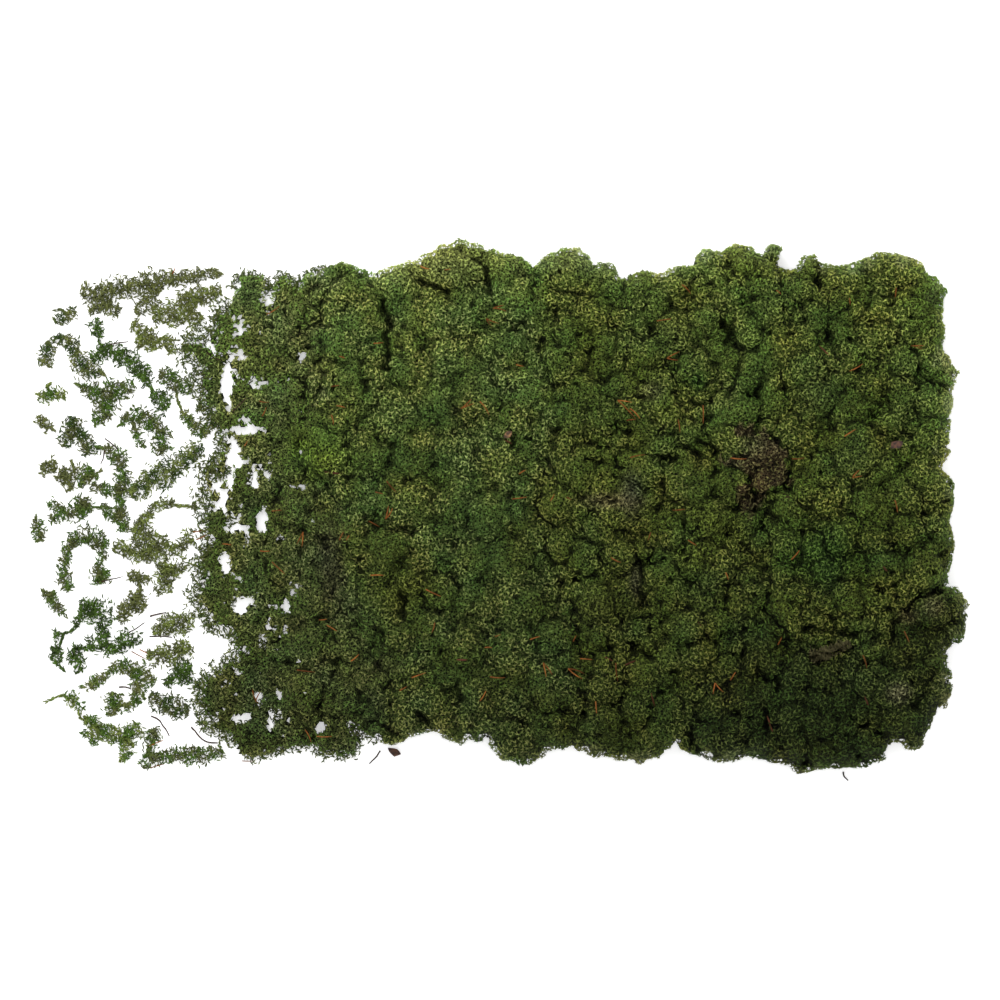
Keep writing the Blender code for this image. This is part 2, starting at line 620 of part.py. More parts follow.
def cushions(rng):
    """The named cushions, and smaller ones by rule wherever the named ones leave room."""
    made = [(at(px, py), r * PIXEL, rng.uniform(*LARGE_LIFT)) for px, py, r in CUSHIONS]
    for row in SMALL_ROWS:
        for column in SMALL_COLUMNS:
            px = column + rng.uniform(-SMALL_SHIFT, SMALL_SHIFT)
            py = row + rng.uniform(-SMALL_SHIFT, SMALL_SHIFT)
            radius, lift = rng.uniform(*SMALL_RADIUS) * PIXEL, rng.uniform(*SMALL_LIFT)
            place = at(px, py)
            if all((place - other).length > SMALL_ROOM * reach for other, reach, _ in made):
                made.append((place, radius, lift))
    return made


def clump(name, runs, domes, rng):
    """One clump: a relief of cushions with raised tips above, a rough underside with its feet."""
    torn = name == "left_edge_clump"
    outline, outline_kinds = outer_ring(runs, rng)
    rings, kinds = [outline], [outline_kinds]
    for hole in HOLES if torn else []:
        rings.append(hole_ring(hole))
        kinds.append([False] * len(rings[-1]))
    low_x, high_x = min(p.x for p in outline), max(p.x for p in outline)
    near = [dome for dome in domes if low_x < dome[0].x + dome[1] * DOME_REACH
            and dome[0].x - dome[1] * DOME_REACH < high_x]
    body = bmesh.new()
    top, under = [], []
    for ring, flags in zip(rings, kinds):
        for i, point in enumerate(ring):
            seam = flags[i] or flags[i - 1]
            share = SEAM_RIM if seam else FREE_RIM
            share *= rng.uniform(*(SEAM_RIM_SPREAD if seam else FREE_RIM_SPREAD))
            rim = max(level(name, point.x) * share, LOWEST_RIM)
            top.append(body.verts.new((point.x, point.y, rim)))
            tuck = TORN_TUCK if torn else SEAM_TUCK if seam else FREE_TUCK
            height = UNDERSIDE * rng.uniform(*UNDER_RIM_SPREAD)
            under.append((point + inward(ring, i) * tuck, height))
    inner = lattice(rings, PITCH, RIM_MARGIN, rng, kinds)
    for point, free, seam, third in inner:
        height = relief(name, point, free, seam, near)
        if third == 0:
            height += rng.uniform(*TIP_RISE) * min(1.0, level(name, point.x) / FULL_RELIEF)
        else:
            height -= rng.uniform(*BETWEEN_DROP)
        top.append(body.verts.new((point.x, point.y, height)))
    for face in triangles(rings, [found[0] for found in inner]):
        body.faces.new([top[k] for k in face])
    feet = [
        at(px, py) + FOOT_RADIUS * Vector((math.cos(turn), math.sin(turn)))
        for px, py in FEET[name]
        for turn in (math.pi * k / 3 for k in range(6))
    ]
    rough = [
        (point, UNDERSIDE * rng.uniform(*UNDER_SPREAD))
        for point, _, _, _ in lattice(rings, UNDER_PITCH, UNDER_MARGIN, rng, kinds)
        if all((point - at(*foot)).length > FOOT_ROOM for foot in FEET[name])
    ]
    lows = rough + [(point, 0.0) for point in feet]
    under_rings, start = [], 0
    for ring in rings:
        under_rings.append([point for point, _ in under[start:start + len(ring)]])
        start += len(ring)
    base = [body.verts.new((point.x, point.y, z)) for point, z in under + lows]
    for face in triangles(under_rings, [point for point, _ in lows]):
        body.faces.new([base[k] for k in face])
    start = 0
    for ring in rings:
        for i in range(len(ring)):
            j = (i + 1) % len(ring)
            a, b = start + i, start + j
            body.faces.new((top[a], top[b], base[b]))
            body.faces.new((top[a], base[b], base[a]))
        start += len(ring)
    bmesh.ops.recalc_face_normals(body, faces=body.faces)
    mesh = bpy.data.meshes.new(name)
    body.to_mesh(mesh)
    body.free()
    return mesh


def smooth_path(points, step):
    """Points about step apart on a smooth curve through the given ones, last number a width."""
    held = [points[0]] + points + [points[-1]]
    path = []
    for a, b, c, d in zip(held, held[1:], held[2:], held[3:]):
        count = max(1, round((c - b).length / step))
        for k in range(count):
            t = k / count
            path.append(0.5 * (
                2 * b + (c - a) * t + (2 * a - 5 * b + 4 * c - d) * t * t
                + (3 * b - a - 3 * c + d) * t * t * t
            ))
    return path + [points[-1]]


def string_mesh(chain, rng):
    """A string of sprigs: a five-sided body whose side and top corners stand out as tips."""
    points = [Vector((*at(px, py), width * PIXEL)) for px, py, width in chain]
    path = smooth_path(points, SPRIG_STEP)
    body = bmesh.new()
    rows = []
    for i, here in enumerate(path):
        ahead = (path[min(i + 1, len(path) - 1)] - path[max(i - 1, 0)]).xy.normalized()
        side = Vector((-ahead.y, ahead.x))
        width = max(here.z * SPRIG_WIDTH, STRAND_THICK)
        tall = max(min(width * 0.9, SPRIG_TALL), STRAND_THICK)
        sprig = width > STRAND_WIDEST
        reach = [rng.choice(SPRIG_SIDES) if sprig else 1.0 for _ in range(2)]
        peak = tall * (rng.choice(SPRIG_PEAKS) if sprig else STRAND_PEAK)
        low = 0.0 if sprig else STRAND_THICK / 2
        corners = [
            (-SPRIG_FOOT * width, low), (SPRIG_FOOT * width, low),
            (reach[0] * width, low + tall * rng.uniform(*SIDE_HEIGHTS)),
            (rng.uniform(*PEAK_SHIFT) * width, low + peak),
            (-reach[1] * width, low + tall * rng.uniform(*SIDE_HEIGHTS)),
        ]
        rows.append([
            body.verts.new((*(here.xy - side * across), height)) for across, height in corners
        ])
    for a, b in zip(rows, rows[1:]):
        for k in range(5):
            m = (k + 1) % 5
            body.faces.new((a[k], a[m], b[m], b[k]))
    for row, end, before in ((rows[0], path[0], path[1]), (rows[-1], path[-1], path[-2])):
        along = (end - before).xy.normalized()
        tip = end.xy + along * max(end.z * 0.8, STRAND_THICK)
        point = body.verts.new((*tip, STRAND_THICK))
        for k in range(5):
            body.faces.new((row[k], row[(k + 1) % 5], point))
    bmesh.ops.recalc_face_normals(body, faces=body.faces)
    bmesh.ops.triangulate(body, faces=body.faces)
    mesh = bpy.data.meshes.new("string")
    body.to_mesh(mesh)
    body.free()
    return mesh


def spray(name, chains, look, rng):
    """A spray: its chains, joined into one body where they meet."""
    parts = [string_mesh(chain, rng) for chain in chains]
    made = add_object(name, parts[0], look)
    if len(parts) == 1:
        return made
    others = bpy.data.collections.new(name + "_chains")
    for part in parts[1:]:
        others.objects.link(bpy.data.objects.new("chain", part))
    bpy.context.scene.collection.children.link(others)
    join = made.modifiers.new("join", "BOOLEAN")
    join.operation = "UNION"
    join.operand_type = "COLLECTION"
    join.collection = others
    join.solver = "MANIFOLD"
    graph = bpy.context.evaluated_depsgraph_get()
    mesh = bpy.data.meshes.new_from_object(made.evaluated_get(graph))
    made.modifiers.clear()
    made.data = mesh
    for other in list(others.objects):
        bpy.data.objects.remove(other)
    bpy.data.collections.remove(others)
    return made


def rod_mesh(points, radii, sides):
    """A closed rod through points, with its own radius at each."""
    body = bmesh.new()
    rows = []
    for i, here in enumerate(points):
        ahead = (points[min(i + 1, len(points) - 1)] - points[max(i - 1, 0)]).normalized()
        side = ahead.cross(Vector((0, 0, 1))).normalized()
        lift = side.cross(ahead)
        turns = [2 * math.pi * (k + 0.5) / sides for k in range(sides)]
        rows.append([
            body.verts.new(here + (side * math.cos(t) + lift * math.sin(t)) * radii[i])
            for t in turns
        ])
    for a, b in zip(rows, rows[1:]):
        for k in range(sides):
            m = (k + 1) % sides
            body.faces.new((a[k], a[m], b[m], b[k]))
    body.faces.new(rows[0])
    body.faces.new(rows[-1])
    bmesh.ops.recalc_face_normals(body, faces=body.faces)
    mesh = bpy.data.meshes.new("rod")
    body.to_mesh(mesh)
    body.free()
    return mesh


def ground_of(clumps):
    """The clumps' points and a search tree over their faces, for what lies on them."""
    points, faces = [], []
    for made in clumps:
        start = len(points)
        points += [vertex.co.copy() for vertex in made.data.vertices]
        faces += [[start + k for k in face.vertices] for face in made.data.polygons]
    return points, BVHTree.FromPolygons(points, faces)


def top_under(ground, place, spread):
    """The highest moss within spread of a place."""
    points, tree = ground
    tips = [point.z for point in points if (point.xy - place).length < spread]
    highest = max(tips, default=0.0)
    for share, k in product((0.0, 1 / 3, 2 / 3, 1.0), range(12)):
        turn, reach = math.pi * k / 6, spread * share
        start = Vector((place.x + reach * math.cos(turn), place.y + reach * math.sin(turn), 1.0))
        hit = tree.ray_cast(start, Vector((0, 0, -1)))[0]
        if hit:
            highest = max(highest, hit.z)
    return highest


def laid(ground, start, end, radius, count=5):
    """Two ends of a straight piece that lies on the moss and touches it nowhere."""
    heights = [
        top_under(ground, start.lerp(end, k / (count - 1)), radius * 2) for k in range(count)
    ]
    low, high = heights[0], heights[-1]
    lift = max(
        height - (low + (high - low) * k / (count - 1)) for k, height in enumerate(heights)
    )
    rise = lift + radius + CLEAR * 2
    return Vector((*start, low + rise)), Vector((*end, high + rise))


def needle_pair(name, ground, ends, look):
    """Two pine needles joined at one end."""
    root, first, second = (at(*place) for place in ends)
    a0, a1 = laid(ground, root, first, NEEDLE_RADIUS)
    b0, b1 = laid(ground, root, second, NEEDLE_RADIUS)
    base = a0 if a0.z > b0.z else b0
    a1.z += base.z - a0.z
    b1.z += base.z - b0.z
    radii = [NEEDLE_RADIUS * share for share in NEEDLE_TAPER]
    made = add_object(name, rod_mesh([base, a1], radii, 3), look)
    sunk = base + (base - b1).normalized() * NEEDLE_RADIUS * 0.4
    other = bpy.data.objects.new("other", rod_mesh([sunk, b1], radii, 3))
    bpy.context.scene.collection.objects.link(other)
    join = made.modifiers.new("join", "BOOLEAN")
    join.operation = "UNION"
    join.object = other
    graph = bpy.context.evaluated_depsgraph_get()
    mesh = bpy.data.meshes.new_from_object(made.evaluated_get(graph))
    made.modifiers.clear()
    made.data = mesh
    bpy.data.objects.remove(other)
    return made


def flake(name, spec, height, look, rng):
    """A flake of bark: a thin plate with a broken edge."""
    px, py, half_length, half_width, thick, turn = spec
    middle = at(px, py)
    spin = math.radians(turn)
    body = bmesh.new()
    ring = []
    for k in range(FLAKE_CORNERS):
        angle = 2 * math.pi * k / FLAKE_CORNERS
        reach = rng.uniform(*FLAKE_SPREAD)
        along, across = half_length * reach * math.cos(angle), half_width * reach * math.sin(angle)
        ring.append(Vector((
            middle.x + along * math.cos(spin) - across * math.sin(spin),
            middle.y + along * math.sin(spin) + across * math.cos(spin), height,
        )))
    low = [body.verts.new(point) for point in ring]
    high = [body.verts.new(point + Vector((0, 0, thick))) for point in ring]
    body.faces.new(low)
    body.faces.new(high)
    for k in range(FLAKE_CORNERS):
        m = (k + 1) % FLAKE_CORNERS
        body.faces.new((low[k], low[m], high[m], high[k]))
    bmesh.ops.recalc_face_normals(body, faces=body.faces)
    mesh = bpy.data.meshes.new(name)
    body.to_mesh(mesh)
    body.free()
    return add_object(name, mesh, look)


def build():
    for old in list(bpy.data.objects):
        bpy.data.objects.remove(old)
    rng = random.Random(SEED)
    looks = {
        "left_edge_clump": material("olive_moss", (0.065, 0.085, 0.032)),
        "middle_left_clump": material("yellow_green_moss", (0.085, 0.115, 0.035)),
        "middle_clump": material("green_moss", (0.05, 0.068, 0.02)),
        "right_upper_clump": material("forest_moss", (0.045, 0.062, 0.018)),
        "right_lower_clump": material("dark_moss", (0.032, 0.046, 0.014)),
        "grey_curl": material("grey_brown_moss", (0.05, 0.042, 0.026)),
    }
    fringe = material("fringe_moss", (0.09, 0.11, 0.045))
    twig = material("twig", (0.03, 0.02, 0.016), 0.8)
    needle = material("pine_needle", (0.3, 0.09, 0.02), 0.6)
    bark = material("bark", (0.06, 0.03, 0.022), 0.85)
    domes = cushions(rng)
    clumps = []
    for name, runs in clump_outlines().items():
        clumps.append(add_object(name, clump(name, runs, domes, rng), looks[name]))
    for i, chains in enumerate(SPRAYS, 1):
        spray(f"fringe_spray_{i:02d}", chains, fringe, rng)
    ground = ground_of(clumps)
    for i, places in enumerate(TWIGS, 1):
        points = [Vector((*at(*place), TWIG_RADIUS)) for place in places]
        radii = [TWIG_RADIUS * share for share in TWIG_TAPER]
        add_object(f"twig_{i:02d}", rod_mesh(points, radii, 5), twig)
    start, end = laid(ground, at(*STRAND[0]), at(*STRAND[-1]), STRAND_RADIUS, 7)
    points = [
        Vector((*at(*place), start.z + (end.z - start.z) * k / (len(STRAND) - 1)))
        for k, place in enumerate(STRAND)
    ]
    radii = [STRAND_RADIUS * share for share in STRAND_TAPER]
    add_object("grey_strand", rod_mesh(points, radii, 6), looks["grey_curl"])
    for i, ends in enumerate(NEEDLES, 1):
        needle_pair(f"needle_pair_{i:02d}", ground, ends, needle)
    for i, spec in enumerate(FLAKES, 1):
        height = top_under(ground, at(*spec[:2]), spec[2] * FLAKE_SPREAD[1]) + CLEAR if i > 1 else 0.0
        flake(f"bark_flake_{i:02d}", spec, height, bark, rng)


build()
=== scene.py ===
"""Looks for the reindeer moss clump: branchlets, colours, needles, floor, light and camera.

Places are read in the frame of a 1000-pixel photograph taken from straight above, as in the
part's source, whose outlines, holes, cushions and sprig chains are repeated here. A height map
with one cell a pixel is worked out from them. A low, netted body fills each clump under it, and
forked branchlets grow from that body up to the mapped height. Curly threads make the sprays, and
needles, twigs and a dead strand lie on top.
"""

import math
import random

import bpy
import numpy as np
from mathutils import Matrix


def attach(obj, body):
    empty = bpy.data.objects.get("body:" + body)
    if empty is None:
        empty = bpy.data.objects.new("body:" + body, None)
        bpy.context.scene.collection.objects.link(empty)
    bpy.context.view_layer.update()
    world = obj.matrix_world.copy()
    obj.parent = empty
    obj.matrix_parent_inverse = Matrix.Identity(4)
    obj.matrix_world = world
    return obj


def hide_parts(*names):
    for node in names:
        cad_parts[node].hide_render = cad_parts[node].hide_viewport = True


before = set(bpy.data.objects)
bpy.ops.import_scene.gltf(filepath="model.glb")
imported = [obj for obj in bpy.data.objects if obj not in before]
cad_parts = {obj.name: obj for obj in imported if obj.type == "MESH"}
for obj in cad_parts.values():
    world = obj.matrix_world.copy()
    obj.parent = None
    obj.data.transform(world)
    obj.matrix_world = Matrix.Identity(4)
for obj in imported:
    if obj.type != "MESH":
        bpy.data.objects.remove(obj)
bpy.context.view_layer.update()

SEED = 7

# Photograph to plan: metres a pixel, and the pixel that is the origin
PIXEL = 0.00125
PHOTO_MIDDLE = (504.5, 505.5)

# Part of the photograph that the height map covers: left, top, right and foot
MAP_BOX = (180, 222, 986, 788)

# Thickness of the moss in metres, without its cushions
THICKNESS = {
    "middle_left_clump": 0.050,
    "middle_clump": 0.062,
    "right_upper_clump": 0.076,
    "right_lower_clump": 0.068,
    "grey_curl": 0.070,
}
TORN_THICKNESS = (0.013, 0.035)
TORN_COLUMNS = (200, 340)

# Rounding of the edges: how far in it reaches, and the share of the thickness left at the rim.
# A seam's groove comes and goes: noise step, mean, swing and most
FREE_ROLL = 0.032
SEAM_ROLL = 0.007
TORN_ROLL = 0.009
FREE_RIM = 0.32
SEAM_RIM = 0.80
GROOVE = (18, 0.7, 1.1, 1.6)
FREE_REACH = 30
SEAM_REACH = 12

# Cushions, as in the part's source: roundness and reach of each dome, the level that counts as
# flat, the thickness from which they show in full, and the crease where two of them meet
DOME = 0.72
DOME_REACH = 1.12
DIP = 0.010
FULL_RELIEF = 0.03
LARGE_LIFT = (-0.004, 0.004)
SMALL_LIFT = (-0.004, 0.002)
SMALL_RADIUS = (7, 11)
SMALL_ROWS = range(230, 780, 15)
SMALL_COLUMNS = range(190, 975, 15)
SMALL_SHIFT = 5
SMALL_ROOM = 0.8
CREASE = 0.0045
CREASE_SPAN = 0.0035
CREASE_STEP = 16

# Warp that makes the cushions, seams and holes irregular: steps and shifts in pixels
WARPS = ((26, 6.0), (9, 2.6))

# Share of the cushions' relief that shows on each clump, and a finer roughness: steps and heights
RELIEF = {
    "left_edge_clump": 0.7,
    "middle_left_clump": 0.6,
    "middle_clump": 0.95,
    "right_upper_clump": 0.85,
    "grey_curl": 0.6,
    "right_lower_clump": 0.95,
}
ROUGHNESS = ((22, 0.0034), (11, 0.0034), (5, 0.0012))

# Small dark pits: noise steps and amounts, depth, and how rare they are
PIT_NOISE = ((7, 1.0), (3, 0.5))
PIT_DEPTH = 0.034
PIT_SHARE = 0.62

# Torn and lobed edges: pixels bitten off, the noise that bends the holes, and the noise, threshold
# and rise to the right of the ragged gaps. Then pixels over which thickness changes at a seam
BITE = 6.0
BITE_NOISE = ((9, 1.0), (5, 0.3))
EDGE_SMOOTH = 2
HOLE_NOISE = ((7, 0.9), (3, 0.4))
RAGGED_NOISE = ((11, 0.8), (4, 0.5))
RAGGED = (0.18, 0.75)
RAGGED_COLUMNS = (195, 110)
SEAM_BLEND = 12
LEAST_COVER = 0.05

# Lobes: the little round heads that each cushion is made of, in pixels
LOBE_STEP = 8.5
LOBE_RADIUS = (4.5, 7.0)
LOBE_RISE = 0.75
LOBE_DIP = 0.003
LOBE_SHIFT = 0.3

# Row pitch of a triangular lattice
ROW_PITCH = 0.866

# Body under the branchlets: lattice, depth below the map, insets from the edge and least heights
BODY_PITCH = 0.006
BODY_SINK = 0.0055
BODY_JITTER = 0.15
BODY_INSET = 0.0012
TORN_INSET = 0.00096
BODY_FLOOR = 0.003
BODY_LEAST = 0.006
UNDERSIDE = (0.0005, 0.0045)
# The underside's colour is darkened as painted shade
UNDERSIDE_PAINTED_SHADE = 0.6
LOWEST = 0.0002

# Places of the branchlets: least gap, trial places on top and on the walls at the rim, most that
# a slope counts for, how the rim is found, and the walls' own foot, top margin and direction
GAP = 0.0045
CANDIDATES = 210000
WALL_CANDIDATES = 40000
STEEPEST = 3.5
RIM_BLUR = 3
RIM_COVER = 0.85
WALL_FOOT = 0.0015
WALL_MARGIN = 0.003
WALL_ROOM = 0.0005
WALL_LEAN = (0.5, 0.7)

# Branchlets in metres. Points of the main thread: share of its run ahead, share of its bend to
# the side, and lift
ROOT_DEPTH = (0.0035, 0.0060)
RUN = (0.0045, 0.0075)
PRONG = (0.0028, 0.0046)
STRAND_RADIUS = (0.00060, 0.00082)
FOOT, KNEE = (-0.55, 0.5, 0.0), (-0.22, 0.12, -0.0008)
RIDGE, TIP = (0.2, -0.10, 0.0006), (0.62, 0.35, -0.0006)
TIP_LIFT = 0.001
BEND = 0.4
RISE = (-0.0009, 0.0011)
LEAN = 2.5
UPRIGHT = (0.8, 0.2)
MAIN_TAPER = np.array([[0.85, 1.0, 1.0, 0.7]])
PRONG_TAPER = np.array([[0.9, 0.9, 0.65]])
PRONG_START = 0.4
PRONG_ANGLE = (0.7, 1.35)
PRONG_SWEEP = 0.2
PRONG_LIFT = 0.0002
PRONG_DROP = (-0.0016, 0.0007)

# Shades along a branchlet: the deep colour at its foot, halved there as painted shade down in the
# moss, then the tip colour
LIGHT = (0.78, 1.42)
FOOT_SHADE = 0.5
MAIN_SHADES = (0.8, 1.0, 1.08)
PRONG_SHADES = (0.8, 0.95, 1.0)

# Seams between the clumps, top to bottom and left to right, in photograph pixels
SEAM_LEFT = [
    (342, 262), (322, 300), (320, 364), (314, 407), (297, 436), (330, 489), (339, 545), (341, 595),
    (361, 620), (392, 640), (388, 690), (392, 745),
]
SEAM_MIDDLE = [
    (533, 268), (539, 301), (542, 345), (551, 382), (548, 420), (551, 439), (539, 489), (539, 532),
    (551, 570), (573, 607), (576, 645), (589, 682), (573, 744),
]
SEAM_RIGHT_TOP = [
    (695, 267), (722, 301), (736, 345), (720, 382), (703, 420), (705, 436), (739, 450),
]
CURL_LEFT = [(743, 458), (746, 480), (750, 493)]
CURL_RIGHT = [(752, 439), (770, 438), (785, 452), (788, 472), (778, 488), (762, 496)]
SEAM_RIGHT_MIDDLE = [(764, 520), (767, 557), (764, 607)]
SEAM_RIGHT_LOWER = [(741, 632), (745, 670), (703, 695), (687, 751)]
SEAM_ACROSS = [(790, 640), (815, 652), (850, 648), (880, 630), (915, 600), (944, 587)]

# Outer edges, each named from its first point to its last, in photograph pixels
EDGE_LEFT_TOP = [
    (325, 268), (305, 274), (296, 288), (286, 273), (278, 277), (268, 292), (262, 276), (238, 274),
    (232, 288),
]
EDGE_LEFT_SIDE = [
    (230, 303), (214, 314), (210, 333), (192, 335), (181, 347), (187, 361), (199, 370), (200, 395),
    (204, 416), (217, 424), (219, 446), (207, 470), (199, 485), (204, 500), (203, 515), (204, 532),
    (205, 550), (197, 561), (197, 575), (193, 592), (197, 606), (205, 614), (207, 628), (232, 634),
    (236, 655), (222, 667), (203, 676), (198, 692), (200, 712), (206, 728), (224, 733), (235, 745),
]
EDGE_LEFT_FOOT = [
    (242, 758), (262, 756), (280, 751), (305, 744), (318, 752), (340, 757), (353, 754), (358, 741),
    (350, 726), (362, 731), (378, 742),
]
EDGE_MIDDLE_LEFT_TOP = [
    (520, 256), (500, 252), (482, 244), (458, 238), (440, 244), (420, 252), (405, 262), (385, 268),
    (370, 272), (356, 267),
]
EDGE_MIDDLE_LEFT_FOOT = [
    (410, 738), (435, 735), (452, 742), (462, 750), (468, 741), (486, 742), (500, 759), (512, 768),
    (531, 764), (547, 755), (560, 752),
]
EDGE_MIDDLE_TOP = [
    (675, 266), (658, 274), (642, 269), (626, 277), (612, 263), (596, 262), (582, 248), (560, 248),
    (545, 256),
]
EDGE_MIDDLE_FOOT = [
    (577, 753), (600, 759), (625, 761), (643, 766), (660, 757), (676, 746),
]
EDGE_RIGHT_TOP = [
    (943, 300), (948, 290), (938, 275), (920, 261), (900, 254), (880, 250), (866, 258), (850, 264),
    (838, 266), (822, 263), (816, 254), (802, 256), (790, 268), (781, 262), (783, 247), (768, 243),
    (762, 256), (752, 247), (735, 243), (722, 252), (706, 248), (697, 255),
]
EDGE_RIGHT_SIDE = [
    (948, 578), (952, 560), (955, 545), (951, 527), (953, 510), (955, 484), (941, 468), (952, 450),
    (949, 437), (953, 408), (953, 392), (961, 374), (952, 364), (944, 345), (946, 322),
]
EDGE_LOWER_SIDE = [
    (958, 588), (970, 605), (967, 622), (964, 640), (949, 652), (952, 672), (953, 692), (949, 710),
    (938, 706), (934, 722), (927, 735), (926, 746), (910, 752), (893, 745), (885, 760), (866, 768),
    (842, 768), (820, 770), (797, 774), (782, 764), (762, 762), (750, 758), (733, 763), (717, 762),
    (703, 758),
]

# Holes through the torn left edge: photograph pixels, then half width and half height
HOLES = [
    (258, 382, 9, 9), (226, 386, 6, 20), (246, 430, 18, 5), (229, 474, 4.5, 21), (252, 478, 6, 12),
    (233, 526, 9, 8), (262, 522, 6, 12), (279, 542, 5, 5), (223, 556, 7, 6), (239, 603, 11, 9),
    (263, 642, 4.5, 9), (285, 606, 4.5, 7), (301, 356, 5, 5), (242, 719, 9, 6), (274, 717, 10, 8),
    (319, 729, 6, 6),
]

# The large cushions that give each clump its form: photograph pixels, then radius
CUSHIONS = [
    # Torn left edge
    (250, 310, 16), (275, 330, 18), (240, 350, 14), (192, 347, 11), (212, 375, 11), (300, 310, 14),
    (285, 390, 16), (250, 405, 12), (300, 415, 15), (245, 455, 11), (285, 465, 18), (215, 490, 12),
    (290, 510, 20), (215, 530, 10), (245, 548, 14), (285, 570, 18), (210, 585, 14), (305, 600, 16),
    (250, 630, 13), (300, 645, 18), (215, 690, 15), (250, 690, 16), (300, 690, 20), (340, 700, 18),
    (345, 740, 12), (370, 680, 16), (350, 650, 14), (285, 735, 13),
    # Flat-topped clump
    (345, 290, 16), (365, 320, 23), (345, 345, 20), (372, 356, 13), (343, 385, 18), (345, 412, 19),
    (325, 455, 24), (400, 285, 20), (395, 345, 18), (405, 372, 16), (428, 262, 15), (450, 270, 22),
    (465, 252, 14), (505, 266, 17), (520, 300, 18), (465, 315, 19), (430, 320, 20), (500, 345, 21),
    (455, 355, 20), (520, 385, 19), (475, 395, 20), (435, 400, 20), (395, 415, 20), (510, 420, 16),
    (370, 450, 18), (415, 455, 21), (455, 450, 19), (495, 465, 21), (370, 495, 20), (410, 505, 20),
    (350, 530, 16), (450, 500, 20), (490, 515, 22), (385, 545, 20), (430, 548, 19), (470, 560, 20),
    (510, 560, 21), (380, 598, 17), (412, 580, 15), (440, 590, 16), (475, 605, 20), (520, 605, 22),
    (392, 638, 19), (430, 635, 18), (465, 650, 19), (510, 650, 21), (550, 640, 18), (430, 695, 19),
    (410, 665, 14), (470, 695, 18), (510, 700, 20), (550, 690, 21), (445, 725, 14), (480, 725, 15),
    (513, 748, 18), (550, 732, 19), (405, 720, 14),
    # Middle clump
    (570, 270, 21), (612, 284, 14), (643, 284, 14), (675, 285, 17), (590, 310, 19), (625, 318, 15),
    (655, 308, 14), (672, 332, 17), (572, 335, 17), (600, 348, 15), (565, 368, 19), (640, 352, 17),
    (705, 320, 15), (588, 392, 17), (624, 384, 15), (692, 368, 20), (655, 378, 13), (570, 422, 17),
    (600, 422, 17), (628, 412, 13), (664, 408, 18), (688, 434, 17), (655, 442, 15), (560, 446, 14),
    (575, 472, 22), (640, 472, 19), (606, 484, 17), (688, 482, 22), (620, 505, 21), (560, 508, 18),
    (726, 486, 18), (600, 528, 17), (560, 545, 16), (585, 560, 18), (616, 552, 18), (645, 520, 15),
    (708, 518, 20), (742, 530, 18), (668, 530, 15), (660, 570, 18), (692, 560, 18), (717, 566, 20),
    (746, 574, 16), (670, 596, 17), (700, 597, 16), (735, 600, 17), (597, 606, 20), (605, 636, 16),
    (640, 650, 14), (666, 662, 18), (640, 680, 17), (682, 626, 20), (712, 620, 18), (730, 640, 13),
    (702, 652, 16), (726, 668, 15), (690, 690, 14), (608, 664, 14), (600, 690, 14), (600, 722, 18),
    (634, 714, 17), (655, 736, 20), (600, 745, 14), (668, 708, 14), (640, 752, 13), (626, 590, 13),
    # Upper right clump
    (703, 259, 11), (738, 257, 16), (773, 252, 9), (712, 288, 18), (738, 292, 18), (762, 282, 18),
    (810, 266, 12), (842, 276, 18), (877, 262, 16), (900, 272, 18), (925, 285, 16), (770, 315, 19),
    (798, 292, 16), (812, 322, 16), (845, 305, 18), (874, 306, 16), (905, 312, 20), (930, 325, 15),
    (745, 330, 15), (738, 371, 21), (770, 352, 19), (795, 345, 17), (800, 372, 18), (765, 384, 15),
    (733, 408, 21), (812, 400, 22), (775, 405, 17), (795, 432, 18), (845, 412, 20), (866, 385, 16),
    (840, 352, 16), (870, 345, 15), (905, 362, 18), (932, 362, 17), (900, 400, 19), (932, 404, 16),
    (885, 424, 14), (930, 436, 17), (852, 452, 26), (822, 470, 17), (878, 470, 18), (905, 448, 16),
    (804, 494, 18), (832, 502, 18), (785, 512, 16), (930, 480, 20), (900, 494, 18), (862, 506, 16),
    (940, 520, 16), (786, 545, 19), (812, 545, 15), (842, 536, 17), (872, 540, 15), (905, 532, 18),
    (778, 572, 14), (803, 572, 13), (827, 567, 14), (853, 570, 13), (882, 572, 16), (918, 566, 20),
    (792, 592, 16), (820, 597, 14), (846, 597, 14), (872, 600, 14), (783, 618, 20), (815, 628, 14),
    (843, 624, 14), (760, 445, 14), (730, 436, 15), (900, 590, 13),
    # Lower right clump
    (935, 610, 17), (957, 606, 11), (955, 630, 12), (906, 622, 15), (868, 645, 15), (890, 652, 15),
    (915, 648, 18), (938, 656, 14), (772, 660, 14), (795, 668, 14), (820, 674, 13), (842, 666, 13),
    (866, 678, 17), (892, 690, 18), (916, 678, 14), (938, 690, 16), (768, 692, 15), (792, 692, 13),
    (815, 698, 13), (840, 695, 13), (852, 714, 12), (873, 716, 14), (900, 720, 16), (926, 722, 14),
    (742, 700, 14), (740, 724, 14), (728, 745, 13), (764, 736, 15), (790, 716, 14), (816, 722, 14),
    (840, 735, 14), (792, 742, 14), (820, 747, 14), (866, 746, 16), (905, 742, 12), (796, 762, 11),
    (705, 735, 14), (718, 712, 13), (762, 640, 14), (750, 752, 10), (845, 756, 12), (712, 752, 10),
    # Grey curl
    (760, 456, 13), (774, 466, 13), (764, 480, 13),
]

